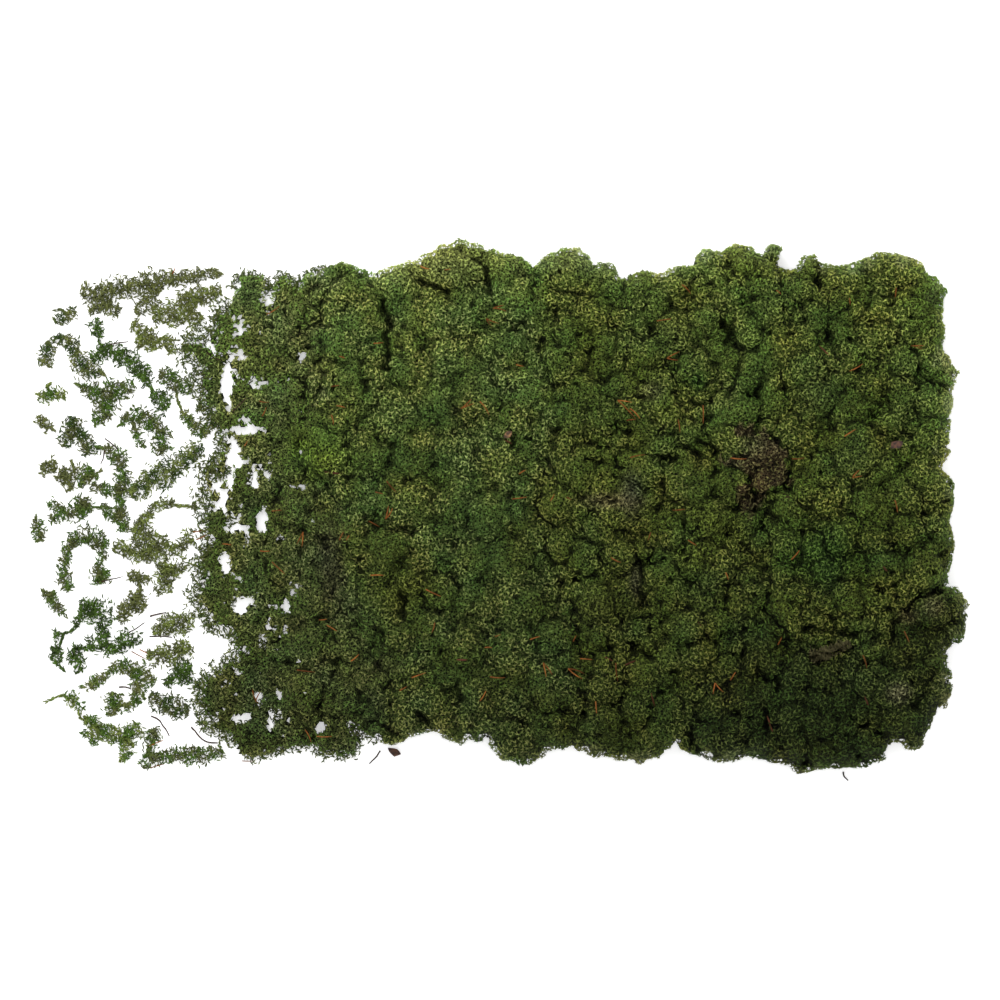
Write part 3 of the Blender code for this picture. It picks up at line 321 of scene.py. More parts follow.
# Strings of sprigs: each spray is a list of chains, each chain a list of photograph pixels with
# the sprig's half width there
SPRAYS = [
    [
        [(80, 294, 6), (101, 291, 7), (121, 288, 7), (140, 283, 6), (156, 280, 7), (172, 279, 5),
         (184, 278, 5), (197, 275, 5), (210, 272, 4), (221, 273, 2)],
        [(99, 294, 4), (104, 304, 6), (118, 310, 5)],
        [(87, 309, 3), (104, 305, 4)],
        [(153, 284, 3), (145, 302, 6), (134, 312, 3)],
    ],
    [
        [(151, 315, 6), (168, 312, 8), (185, 314, 8), (200, 321, 6)],
        [(176, 300, 4), (191, 295, 6), (208, 293, 6), (220, 291, 4)],
        [(187, 312, 3), (194, 297, 4)],
    ],
    [
        [(130, 324, 5), (139, 329, 4), (150, 337, 6), (154, 349, 6)],
        [(134, 341, 5), (150, 340, 5)],
        [(153, 342, 2), (160, 338, 2), (167, 340, 5), (171, 352, 4)],
    ],
    [
        [(91, 320, 5), (97, 331, 4), (98, 342, 2), (104, 350, 5), (90, 358, 5)],
        [(104, 350, 6), (117, 352, 6), (129, 360, 7), (139, 370, 6), (146, 382, 4), (150, 388, 2),
         (156, 398, 7), (168, 404, 7)],
    ],
    [
        [(158, 371, 5), (168, 378, 6), (181, 385, 6), (190, 390, 5)],
    ],
    [
        [(174, 392, 1.5), (179, 407, 2), (185, 418, 4), (196, 429, 5), (207, 433, 5)],
    ],
    [
        [(53, 336, 2), (68, 341, 6), (72, 350, 4), (76, 358, 6), (82, 371, 6), (94, 370, 4),
         (103, 375, 1.5)],
        [(56, 337, 2), (50, 341, 3), (44, 352, 5), (41, 365, 5)],
    ],
    [
        [(73, 417, 6), (67, 432, 6), (63, 446, 5)],
        [(69, 427, 2), (83, 438, 5), (86, 455, 6)],
    ],
    [
        [(94, 446, 2), (104, 449, 3), (117, 456, 7), (119, 466, 4), (121, 476, 6), (120, 490, 7),
         (119, 504, 3), (122, 517, 4), (122, 531, 4)],
        [(90, 485, 3), (103, 490, 4), (118, 490, 4)],
        [(47, 520, 3), (61, 515, 4), (76, 511, 6), (94, 507, 2), (108, 512, 5), (121, 517, 4)],
        [(76, 511, 5), (85, 497, 5)],
        [(47, 501, 3), (56, 508, 3), (66, 514, 2)],
    ],
    [
        [(130, 497, 6), (139, 484, 6), (154, 478, 9), (166, 472, 9), (178, 463, 7), (192, 452, 7),
         (202, 449, 4)],
    ],
    [
        [(142, 522, 5), (149, 512, 3), (155, 506, 4), (164, 503, 4), (178, 506, 2), (194, 506, 3)],
        [(142, 521, 5), (133, 531, 4), (145, 538, 7), (156, 542, 7), (166, 548, 6), (175, 549, 5),
         (184, 541, 5), (192, 539, 5)],
        [(112, 547, 5), (124, 548, 6), (134, 553, 6), (150, 556, 6), (160, 549, 4)],
    ],
    [
        [(68, 540, 5), (85, 537, 6), (99, 542, 6), (99, 562, 3), (95, 574, 6), (99, 583, 4)],
        [(96, 577, 4), (108, 576, 5)],
        [(69, 541, 3), (64, 555, 5), (63, 566, 4), (63, 580, 5), (69, 591, 3)],
    ],
    [
        [(126, 577, 3), (137, 578, 5), (147, 579, 3)],
        [(137, 577, 3), (138, 590, 2), (134, 603, 6)],
        [(122, 623, 3), (120, 611, 5), (133, 603, 7), (143, 607, 5)],
    ],
    [
        [(160, 573, 7), (172, 566, 7), (182, 572, 6)],
        [(166, 570, 6), (163, 582, 7), (166, 593, 6)],
    ],
    [
        [(79, 607, 5), (94, 607, 8), (99, 621, 8), (103, 635, 4), (100, 646, 4), (91, 644, 5),
         (79, 650, 3), (71, 649, 5), (75, 662, 5), (81, 671, 4)],
        [(81, 607, 3), (76, 623, 3), (68, 632, 2), (60, 635, 2), (52, 637, 5)],
        [(62, 634, 1.5), (58, 644, 2), (54, 652, 5), (54, 662, 3), (62, 671, 2)],
        [(101, 646, 3), (107, 652, 5), (118, 646, 6), (131, 640, 6), (138, 644, 3)],
    ],
    [
        [(152, 633, 4), (168, 626, 7), (180, 621, 7), (193, 622, 6)],
    ],
    [
        [(146, 656, 6), (162, 655, 7), (179, 652, 7), (188, 645, 6)],
    ],
    [
        [(79, 688, 2), (92, 685, 4), (104, 677, 3), (110, 669, 3), (122, 668, 5), (133, 669, 6),
         (145, 678, 5), (154, 684, 3)],
        [(132, 669, 3), (134, 683, 4), (138, 692, 5), (133, 703, 4), (121, 708, 3), (111, 708, 5)],
        [(112, 694, 5), (111, 706, 7), (112, 716, 4)],
    ],
    [
        [(43, 703, 1.5), (58, 697, 1.5), (68, 699, 5), (76, 706, 4), (78, 718, 1.5), (86, 721, 4),
         (96, 724, 5), (94, 732, 5), (85, 741, 6)],
        [(95, 731, 5), (108, 737, 6), (118, 736, 6), (129, 735, 7), (136, 724, 5)],
        [(128, 736, 3), (124, 749, 5), (121, 763, 3)],
    ],
    [
        [(164, 686, 4), (170, 677, 4), (182, 669, 6), (190, 667, 4)],
        [(181, 671, 5), (184, 685, 6)],
    ],
    [
        [(148, 696, 4), (162, 705, 7), (177, 710, 7), (187, 713, 4)],
    ],
    [
        [(149, 731, 6), (153, 741, 5), (146, 749, 3), (149, 757, 4), (144, 769, 4)],
        [(149, 757, 4), (168, 757, 5), (185, 756, 6), (200, 755, 6), (212, 755, 5), (222, 753, 4)],
    ],
    [
        [(73, 383, 2), (81, 387, 3), (90, 392, 6), (101, 395, 8), (112, 392, 7), (124, 387, 6),
         (133, 384, 3)],
        [(103, 397, 7), (109, 406, 6), (105, 414, 5), (97, 417, 6), (93, 425, 2)],
    ],
    [
        [(117, 426, 2), (126, 417, 4), (136, 415, 6), (147, 419, 6), (157, 427, 6), (162, 437, 6),
         (159, 448, 7), (161, 454, 3)],
        [(131, 420, 2), (134, 431, 3), (139, 443, 3), (143, 446, 2)],
    ],
    [
        [(69, 461, 1.5), (71, 469, 3), (66, 476, 6), (58, 477, 5), (53, 476, 2)],
        [(66, 476, 6), (67, 484, 4), (68, 490, 3)],
    ],
    [
        [(79, 487, 3), (80, 480, 5), (85, 472, 7), (89, 468, 5)],
        [(83, 477, 4), (93, 474, 3), (99, 471, 1.5)],
    ],
    [
        [(54, 462, 4), (47, 465, 5), (42, 471, 4), (38, 472, 2)],
    ],
    [
        [(37, 416, 3), (39, 424, 4), (46, 425, 4), (52, 430, 1.5)],
    ],
    [
        [(34, 394, 2), (41, 397, 4), (50, 394, 4), (58, 393, 4), (63, 398, 2)],
        [(47, 394, 3), (46, 386, 2), (49, 383, 2)],
    ],
    [
        [(73, 306, 2), (67, 312, 4), (59, 317, 4), (53, 320, 3)],
        [(52, 309, 1.5), (59, 309, 1.5), (64, 313, 2)],
    ],
    [
        [(34, 516, 2), (35, 525, 4), (37, 534, 5), (39, 541, 3)],
    ],
    [
        [(40, 590, 2), (46, 598, 4), (54, 606, 4), (61, 614, 2.5), (65, 618, 1.5)],
        [(46, 598, 3), (52, 592, 2)],
    ],
]

# The dead grey strand, a chain like those of the sprays
STRAND = [(809, 655, 4), (818, 654, 4.4), (831, 649, 3.6), (846, 641, 2.7)]
STRAND_DENSITY = 1.0
STRAND_LIFT = 0.001
GREY_COLOUR = (80, 76, 50)

# Twigs, in photograph pixels: the source's six, and thinner ones among the sprigs
TWIGS = [
    [(148, 617), (155, 615), (164, 613)],
    [(117, 688), (124, 688), (129, 690)],
    [(149, 717), (158, 722), (168, 737)],
    [(190, 728), (203, 742), (216, 744)],
    [(380, 752), (374, 760), (368, 765)],
    [(845, 773), (846, 778), (850, 782)],
]
THIN_TWIGS = [
    [(108, 344), (118, 342), (127, 341)], [(103, 438), (111, 444), (118, 451)],
    [(103, 450), (102, 457), (99, 464)], [(148, 637), (160, 637), (171, 638)],
    [(95, 583), (108, 580), (121, 577)], [(127, 633), (135, 629), (143, 623)],
    [(150, 656), (166, 655), (180, 652)], [(206, 352), (214, 358), (222, 360)],
    [(232, 412), (240, 404), (246, 398)],
]
TWIG_STEP = 3.0
TWIG_RADIUS = 0.0011
THIN_TWIG_RADIUS = 0.0009
THIN_TWIG_LIFT = 0.0035
TWIG_SHIFT = 0.5
TWIG_TAPER = (1.0, 0.7)
TWIG_ROUGH = 0.22
TWIG_COLOUR = (52, 40, 30)
TWIG_SHADES = (0.8, 1.5)

# Pine needles, in photograph pixels: the source's pairs, then single ones
NEEDLE_PAIRS = [
    ((617, 401), (631, 403), (635, 419)), ((666, 359), (679, 352), (677, 361)),
    ((849, 478), (856, 470), (859, 476)), ((543, 662), (546, 676), (552, 674)),
    ((568, 668), (582, 678), (584, 673)), ((714, 682), (722, 691), (712, 693)),
    ((493, 309), (506, 312), (504, 306)), ((486, 319), (492, 327), (499, 324)),
    ((461, 409), (471, 400), (474, 404)), ((386, 519), (393, 508), (389, 506)),
    ((908, 347), (921, 347), (919, 351)), ((303, 532), (297, 544), (302, 547)),
]
NEEDLES = [
    (681, 286, 690, 295), (774, 292, 779, 296), (846, 300, 847, 307), (893, 289, 892, 299),
    (656, 322, 670, 320), (629, 409, 639, 419), (626, 421, 635, 420), (677, 420, 679, 433),
    (702, 406, 702, 424), (629, 458, 644, 455), (729, 458, 745, 459), (790, 459, 802, 458),
    (847, 372, 860, 365), (841, 437, 852, 430), (550, 501, 554, 494), (566, 497, 571, 500),
    (672, 510, 684, 509), (650, 532, 647, 540), (687, 540, 695, 545), (610, 557, 620, 562),
    (789, 559, 797, 550), (724, 572, 727, 579), (573, 641, 576, 635), (580, 658, 592, 659),
    (615, 662, 617, 680), (729, 679, 734, 671), (776, 644, 780, 636), (901, 630, 906, 641),
    (860, 654, 864, 667), (595, 700, 596, 712), (891, 500, 894, 512), (266, 314, 279, 306),
    (421, 267, 430, 270), (445, 271, 451, 270), (374, 344, 384, 343), (340, 357, 346, 359),
    (332, 387, 340, 386), (337, 406, 346, 408), (332, 415, 334, 425), (259, 401, 269, 402),
    (262, 416, 266, 407), (480, 402, 489, 415), (244, 446, 247, 441), (387, 481, 397, 492),
    (376, 492, 384, 494), (516, 365, 524, 367), (519, 474, 526, 470), (512, 499, 527, 497),
    (369, 521, 380, 527), (272, 511, 282, 510), (340, 540, 344, 532), (347, 540, 350, 535),
    (192, 532, 205, 530), (195, 540, 205, 535), (222, 544, 231, 545), (260, 551, 270, 551),
    (272, 562, 285, 574), (371, 575, 385, 575), (426, 589, 441, 596), (327, 625, 337, 631),
    (319, 620, 327, 619), (351, 661, 359, 654), (297, 670, 315, 672), (400, 690, 407, 686),
    (412, 677, 426, 672), (435, 622, 432, 632), (495, 636, 501, 634), (485, 647, 492, 647),
    (480, 700, 486, 690), (490, 676, 505, 677), (530, 639, 540, 636), (317, 736, 332, 736),
    (305, 730, 311, 742), (252, 690, 257, 704), (255, 702, 260, 692), (241, 762, 252, 762),
    (130, 652, 145, 660), (138, 650, 148, 655), (148, 747, 162, 741), (149, 769, 163, 765),
    (171, 273, 174, 266),
]
NEEDLE_RADIUS = 0.00075
NEEDLE_TAPER = np.array((1.0, 0.95, 0.85, 0.5))
NEEDLE_BEND = 0.072
NEEDLE_LIFT = 0.0016
NEEDLE_SHADES = (0.45, 1.15)
NEEDLE_COLOUR = (146, 90, 42)

# Bits of reddish bark in photograph pixels, and their radii
RED_BITS = [
    (604, 656, 612, 660), (624, 664, 635, 660), (650, 692, 654, 705), (696, 621, 700, 625),
    (766, 715, 771, 730), (862, 695, 866, 704), (457, 659, 467, 659), (325, 472, 342, 474),
    (817, 347, 827, 357), (880, 566, 884, 571), (505, 440, 512, 444),
]
RED_RADII = np.array((0.0006, 0.0011, 0.0012, 0.0005))
RED_ROUGH = 0.3
RED_LIFT = 0.0008
RED_SHADES = (0.7, 1.3)
RED_COLOUR = (84, 50, 34)

# Shades along a needle or twig, and the height of what lies beyond the moss, on the fringe
TUBE_SHADES = (0.75, 1.2)
FRINGE_TOP = 0.004

# Directions close to upright that no thread or tube follows
THREAD_UP = (0.11, 0.07, 1.0)
TUBE_UP = (0.05, 0.03, 1.0)

# Fringe threads: how many a square pixel, their form and shades, and how high they heap. MOUND is
# the height of the narrowest tuft and its rise with the half width; LEVEL is a thread's share of it
THREAD_DENSITY = 0.58
TORN_DENSITY = 0.32
THREAD_RADIUS = (0.00074, 0.00102)
THREAD_POINTS = 4
THREAD_TAPER = np.array([[0.7, 1.0, 1.0, 0.6]])
THREAD_SHADES = (0.8, 1.25)
THREAD_FADE = (0.85, 1.1)
TUFT_HEIGHT = 0.009
TORN_HEIGHT = 0.010
MOUND = (0.0020, 0.0011)
MOUND_FALL = 0.6
LEVEL = (0.15, 1.0)
LEVEL_WAVE = 0.3
LEVEL_LIMITS = (0.05, 1.1)
# Lower threads of a tuft are darker: painted shade
LEVEL_PAINTED_SHADE = (0.45, 0.75)
LOWEST_THREAD = 0.0008

# A tuft's threads in pixels: spread over its width, turn from the chain, length, curl and wander.
# A wisp is a thin chain, whose threads run along it
TUFT_WIDTH = 1.45
TUFT_SPREAD = 1.35
TUFT_TURN = 1.9
TUFT_LENGTH = (4.0, 7.5)
TUFT_CURL = 0.26
WANDER = 0.3
BLOTS = (4, 0.35)
WISP = 2.6
WISP_WIDTH = 0.6
WISP_TURN = 0.25
WISP_LENGTH = (5, 8)
WISP_CURL = 0.05
WISP_RADIUS = 0.85
LEAST_HALF = 0.7

# Sprigs at the torn edge: how many chains, where, their half lengths and widths in pixels
TORN_CHAINS = 80
TORN_PLACES = (188, 305, 275, 750)
TORN_LENGTH = (6, 12)
TORN_BEND = 3
TORN_WIDTHS = (2.5, 3, 5)
TORN_EDGE_WIDTHS = (6, 4)
LOW_MOSS = (0.5, 0.008)

# The sprays' colours as sRGB. Two swirl in each: waves a metre along and across, and their swing
SWIRL = (210, 190, 0.9)
FRINGE_LOOKS = [(108, 114, 64), (94, 100, 58), (80, 108, 42), (64, 84, 38), (118, 130, 66)]

# Dark gaps between the cushions: photograph pixels along each, half width in pixels, depth
CREVICES = [
    ([(385, 304), (389, 322), (386, 340), (390, 358), (384, 374)], 5, 0.020),
    ([(473, 262), (480, 272), (486, 290)], 5, 0.018),
    ([(424, 278), (434, 285), (446, 296)], 4, 0.014),
    ([(818, 262), (817, 286)], 5, 0.018),
    ([(722, 326), (740, 350), (732, 376), (722, 402)], 5, 0.016),
    ([(760, 380), (752, 394)], 5, 0.016),
    ([(832, 340), (838, 352)], 6, 0.018),
    ([(680, 450), (694, 458)], 7, 0.022),
    ([(638, 556), (644, 575), (640, 602)], 4, 0.014),
    ([(757, 498), (766, 508), (768, 524)], 6, 0.020),
    ([(632, 650), (644, 662)], 6, 0.018),
    ([(762, 664), (768, 676)], 5, 0.016),
    ([(764, 712), (768, 732)], 6, 0.018),
    ([(690, 728), (694, 744)], 5, 0.016),
    ([(806, 634), (830, 626), (856, 632)], 6, 0.020),
    ([(398, 594), (404, 606)], 5, 0.014),
    ([(456, 686), (460, 700)], 5, 0.014),
    ([(424, 716), (434, 728)], 6, 0.014),
    ([(390, 722), (398, 732)], 6, 0.014),
    ([(700, 446), (718, 452)], 5, 0.016),
    ([(556, 430), (552, 470)], 4, 0.012),
    ([(604, 640), (612, 668)], 4, 0.014),
]

# Moss colours as sRGB: pale strand tips, then the darker strands beneath, darker partly in their own
# colour and partly as painted shade of the depth
LOOKS = {
    "left_edge_clump": ((132, 138, 82), (92, 118, 52), (69, 80, 40)),
    "middle_left_clump": ((142, 150, 82), (86, 112, 48), (64, 78, 34)),
    "middle_clump": ((126, 134, 66), (84, 106, 42), (60, 72, 28)),
    "right_upper_clump": ((128, 136, 66), (84, 108, 42), (58, 70, 27)),
    "right_lower_clump": ((100, 110, 52), (66, 88, 34), (43, 53, 20)),
    "grey_curl": ((120, 110, 76), (98, 96, 56), (60, 52, 34)),
}
PATCH_LIGHT = 0.72
# PATCH_DEEP darkens a patch's colour for the strands beneath, partly as painted shade of the depth
PATCH_DEEP = 0.3

# Noises of the colours, as steps and amounts: shift of the borders, pale or green, brightness
# and warmth. Then the painted shade that darkens hollows, partly also darker dead moss there, with
# painted light on the heads; and the painted light that fades from the top of the mass to its foot
BORDER_NOISE = ((16, 22), (6, 10))
PALE_NOISE = ((20, 1.0), (7, 0.7))
DRIFT_NOISE = ((40, 0.16), (9, 0.12))
WARM_NOISE = ((24, 0.12),)
HOLLOWS = ((9, 0.011), (4, 0.009))
PAINTED_SHADE_AND_DEAD_MOSS = (1.04, 0.15, 1.35)
PAINTED_LIGHT_FALL = (1.26, 0.74, 0.48, 1.28)
PAINTED_LIGHT_ROWS = (250, 500)

# Patches of another colour: photograph pixels, half width, half height, sRGB and share
PATCHES = [
    (318, 455, 34, 24, (140, 172, 66), 0.7), (611, 501, 30, 8, (168, 164, 112), 0.9),
    (630, 495, 12, 24, (120, 118, 86), 0.8), (635, 580, 7, 20, (112, 108, 82), 0.8),
    (820, 555, 48, 34, (74, 120, 44), 0.7), (697, 382, 10, 10, (70, 130, 52), 0.7),
    (650, 392, 12, 10, (150, 158, 96), 0.8), (896, 692, 12, 10, (176, 172, 122), 0.9),
    (930, 605, 11, 11, (150, 140, 96), 0.7), (905, 615, 11, 8, (140, 130, 90), 0.7),
    (750, 445, 14, 10, (134, 138, 88), 0.8), (402, 590, 36, 20, (138, 156, 64), 0.7),
    (640, 650, 14, 12, (128, 146, 62), 0.7), (705, 520, 20, 16, (124, 142, 58), 0.7),
    (740, 530, 18, 16, (118, 138, 56), 0.7), (690, 560, 18, 16, (118, 138, 56), 0.7),
    (597, 606, 20, 16, (120, 136, 64), 0.7), (672, 332, 17, 15, (128, 140, 66), 0.7),
    (812, 400, 20, 18, (116, 132, 64), 0.6), (852, 452, 24, 22, (112, 130, 58), 0.6),
    (435, 262, 60, 22, (160, 170, 96), 0.7), (600, 262, 60, 14, (146, 156, 88), 0.6),
    (800, 256, 80, 14, (130, 144, 74), 0.6), (330, 565, 14, 42, (126, 118, 88), 0.6),
]

# Patches where the strands are combed one way: pixels, radius and direction in degrees
COMBS = [
    (600, 470, 34, 60), (640, 392, 24, 40), (580, 560, 26, 80), (650, 520, 20, 20),
    (330, 450, 30, 70), (330, 560, 26, 85), (870, 640, 22, 60), (845, 590, 24, 30),
    (700, 440, 24, 120), (740, 470, 22, 30),
]
COMB_LEAN = 0.9
LEAN_NOISE = ((14, 0.35),)

# Each clump's material slot, and the clumps whose branchlets are two pieces
SLOTS = {
    "left_edge_clump": "olive_moss",
    "middle_left_clump": "yellow_green_moss",
    "middle_clump": "green_moss",
    "right_upper_clump": "forest_moss",
    "right_lower_clump": "dark_moss",
    "grey_curl": "grey_brown_moss",
}
HALVED = ("middle_left_clump", "right_upper_clump", "middle_clump")

# Materials: scale and detail of a grain, strength and depth of its bump, and stops of its colours
STRAND_GRAIN = (900.0, 2.0)
STRAND_BUMP = (0.4, 0.0004)
STRAND_RANGE = {"From Min": 0.3, "From Max": 0.7, "To Min": 0.7, "To Max": 1.3}
BODY_GRAIN = (260.0, 1.0)
BODY_BUMP = (0.9, 0.002)
NET_SCALE = 330.0
NET_SHIFT = 0.003
# The net's dark cells are painted shade, standing for the dark holes between strands
NET_AND_PAINTED_GAP_STOPS = ((0.03, (1.6, 1.6, 1.6)), (0.17, (0.05, 0.05, 0.05)))
WOOD_GRAIN = (420.0, 3.0)
WOOD_BUMP = (0.5, 0.0003)
WOOD_STOPS = ((0.3, (0.55, 0.5, 0.5)), (0.7, (1.25, 1.2, 1.15)))
BARK_GRAIN = (240.0, 5.0)
BARK_BUMP = (0.8, 0.0012)
BARK_STOPS = (0.42, 0.6)
BARK_DARK = ((46, 30, 24), (86, 56, 40))
BARK_TAN = ((60, 42, 28), (132, 98, 62))

# Studio: metres, watts and brightness
CAMERA_HEIGHT = 6.0
FOCUS_HEIGHT = 0.03
FLOOR_SIDE = 6
FLOOR_LEVEL = -0.0005
FLOOR_GLOW = 0.5
KEY_PLACE = (-1.2, 2.4, 3.0)
KEY_TURN = (-38, -20)
KEY_SIZE = (2.4, 1.6)
KEY_POWER = 95


def linear(colour):
    """Linear values for an sRGB colour out of 255."""
    share = np.asarray(colour, float) / 255
    return np.where(share <= 0.04045, share / 12.92, ((share + 0.055) / 1.055) ** 2.4)


def unit(vectors):
    return vectors / np.maximum(np.linalg.norm(vectors, axis=-1, keepdims=True), 1e-12)


def metres(px, py):
    """Plan metres for places in the photograph."""
    return (px - PHOTO_MIDDLE[0]) * PIXEL, (PHOTO_MIDDLE[1] - py) * PIXEL


# The height map
columns = np.arange(MAP_BOX[0], MAP_BOX[2])
rows = np.arange(MAP_BOX[1], MAP_BOX[3])
SHAPE = (len(rows), len(columns))


def window(low_x, low_y, high_x, high_y):
    """Slices of the map that cover a box of pixels."""
    return (
        slice(max(int(low_y) - MAP_BOX[1], 0), max(int(high_y) + 2 - MAP_BOX[1], 0)),
        slice(max(int(low_x) - MAP_BOX[0], 0), max(int(high_x) + 2 - MAP_BOX[0], 0)),
    )


def pairs(points, closed=True):
    """Neighbouring points of a ring, or of a run that stays open."""
    return list(zip(points, points[1:] + points[:1] if closed else points[1:]))


def warped(rng):
    """Each cell's own place in pixels, shifted smoothly at random."""
    x, y = np.meshgrid(columns.astype(float), rows.astype(float))
    for step, shift in WARPS:
        x, y = x + shift * noise_map(rng, step), y + shift * noise_map(rng, step)
    return x, y


def filled(ring):
    """Which cells lie inside a closed ring of pixels."""
    mask = np.zeros(SHAPE, bool)
    for (x0, y0), (x1, y1) in pairs(ring):
        crossed = np.nonzero((rows >= min(y0, y1)) & (rows < max(y0, y1)))[0]
        if len(crossed):
            cross = x0 + (rows[crossed] - y0) * (x1 - x0) / (y1 - y0)
            mask[crossed] ^= columns[None, :] > cross[:, None]
    return mask


def nearest(edges, reach, grid, margin=0):
    """Distance in pixels from each cell to some straight edges, as far as reach."""
    found = np.full(SHAPE, float(reach))
    wide = reach + margin
    for (x0, y0), (x1, y1) in edges:
        part = window(min(x0, x1) - wide, min(y0, y1) - wide, max(x0, x1) + wide,
                      max(y0, y1) + wide)
        x, y = grid[0][part] - x0, grid[1][part] - y0
        dx, dy = x1 - x0, y1 - y0
        share = np.clip((x * dx + y * dy) / max(dx * dx + dy * dy, 1e-9), 0, 1)
        found[part] = np.minimum(found[part], np.hypot(x - share * dx, y - share * dy))
    return found


def noise_map(rng, step):
    """Smooth random values from -1 to 1, with features about step pixels across."""
    high, wide = int(SHAPE[0] / step) + 3, int(SHAPE[1] / step) + 3
    grid = rng.uniform(-1, 1, (high, wide))
    y, x = np.arange(SHAPE[0])[:, None] / step, np.arange(SHAPE[1])[None, :] / step
    row, column = y.astype(int), x.astype(int)
    v, u = y - row, x - column
    v, u = v * v * (3 - 2 * v), u * u * (3 - 2 * u)
    top = grid[row, column] * (1 - u) + grid[row, column + 1] * u
    foot = grid[row + 1, column] * (1 - u) + grid[row + 1, column + 1] * u
    return top * (1 - v) + foot * v


def mixed(rng, noises):
    """Sum of noises, each a step and an amount."""
    return sum(amount * noise_map(rng, step) for step, amount in noises)


def blurred(values, reach):
    """Box blur, reach cells each way."""
    for axis in (0, 1):
        padded = np.concatenate([
            np.repeat(values.take([0], axis), reach + 1, axis), values,
            np.repeat(values.take([-1], axis), reach, axis),
        ], axis)
        sums = np.cumsum(padded, axis)
        size = values.shape[axis]
        ahead = sums.take(range(2 * reach + 1, 2 * reach + 1 + size), axis)
        values = (ahead - sums.take(range(size), axis)) / (2 * reach + 1)
    return values


def cushions():
    """Pixels, radius in pixels and lift in metres: the named cushions and the small ones."""
    draw = random.Random(SEED)
    made = [(px, py, r, draw.uniform(*LARGE_LIFT)) for px, py, r in CUSHIONS]
    for row in SMALL_ROWS:
        for column in SMALL_COLUMNS:
            px = column + draw.uniform(-SMALL_SHIFT, SMALL_SHIFT)
            py = row + draw.uniform(-SMALL_SHIFT, SMALL_SHIFT)
            radius, lift = draw.uniform(*SMALL_RADIUS), draw.uniform(*SMALL_LIFT)
            if all(math.hypot(px - x, py - y) > SMALL_ROOM * r for x, y, r, _ in made):
                made.append((px, py, radius, lift))
    return made


def lobes(rng):
    """Pixels, radius in pixels and lift of the little heads, on a jittered lattice."""
    made = []
    for i, py in enumerate(np.arange(MAP_BOX[1], MAP_BOX[3], LOBE_STEP * ROW_PITCH)):
        for px in np.arange(MAP_BOX[0] + LOBE_STEP * 0.5 * (i % 2), MAP_BOX[2], LOBE_STEP):
            shift = rng.uniform(-LOBE_SHIFT, LOBE_SHIFT, 2) * LOBE_STEP
            made.append((px + shift[0], py + shift[1], rng.uniform(*LOBE_RADIUS), 0.0))
    return made


def domed(domes, roundness, grid):
    """Highest dome over each cell, and how far the next highest is below it."""
    first, second = np.zeros(SHAPE), np.zeros(SHAPE)
    margin = sum(shift for _, shift in WARPS)
    for px, py, radius, lift in domes:
        reach = radius * DOME_REACH
        wide = reach + margin
        part = window(px - wide, py - wide, px + wide, py + wide)
        square = reach ** 2 - (grid[0][part] - px) ** 2 - (grid[1][part] - py) ** 2
        value = np.where(square > 0, lift + roundness * PIXEL * np.sqrt(np.maximum(square, 0)), 0)
        second[part] = np.maximum(second[part], np.minimum(first[part], value))
        first[part] = np.maximum(first[part], value)
    return first, first - second


def clump_rings():
    """Each clump's outline in pixels, and the runs of it that are free."""
    right_seam = SEAM_RIGHT_TOP + CURL_LEFT + SEAM_RIGHT_MIDDLE + SEAM_RIGHT_LOWER
    upper_seam = SEAM_RIGHT_TOP + CURL_RIGHT + SEAM_RIGHT_MIDDLE + SEAM_ACROSS
    lower_seam = SEAM_RIGHT_LOWER[::-1] + SEAM_RIGHT_MIDDLE[-1:] + SEAM_ACROSS
    return {
        "left_edge_clump": (
            SEAM_LEFT[::-1] + EDGE_LEFT_TOP + EDGE_LEFT_SIDE + EDGE_LEFT_FOOT,
            EDGE_LEFT_TOP + EDGE_LEFT_SIDE + EDGE_LEFT_FOOT,
        ),
        "middle_left_clump": (
            SEAM_MIDDLE[::-1] + EDGE_MIDDLE_LEFT_TOP + SEAM_LEFT + EDGE_MIDDLE_LEFT_FOOT,
            EDGE_MIDDLE_LEFT_TOP, EDGE_MIDDLE_LEFT_FOOT,
        ),
        "middle_clump": (
            right_seam[::-1] + EDGE_MIDDLE_TOP + SEAM_MIDDLE + EDGE_MIDDLE_FOOT,
            EDGE_MIDDLE_TOP, EDGE_MIDDLE_FOOT,
        ),
        "right_upper_clump": (
            upper_seam + EDGE_RIGHT_SIDE + EDGE_RIGHT_TOP, EDGE_RIGHT_SIDE + EDGE_RIGHT_TOP,
        ),
        "right_lower_clump": (lower_seam + EDGE_LOWER_SIDE, EDGE_LOWER_SIDE),
        "grey_curl": (
            SEAM_RIGHT_TOP[-1:] + CURL_RIGHT + SEAM_RIGHT_MIDDLE[:1] + CURL_LEFT[::-1],
        ),
    }


def rounded(distance, roll, rim):
    """Share of the thickness at a distance from an edge: a quarter circle up from the rim."""
    return rim + (1 - rim) * np.sqrt(1 - (1 - np.minimum(distance / roll, 1)) ** 2)


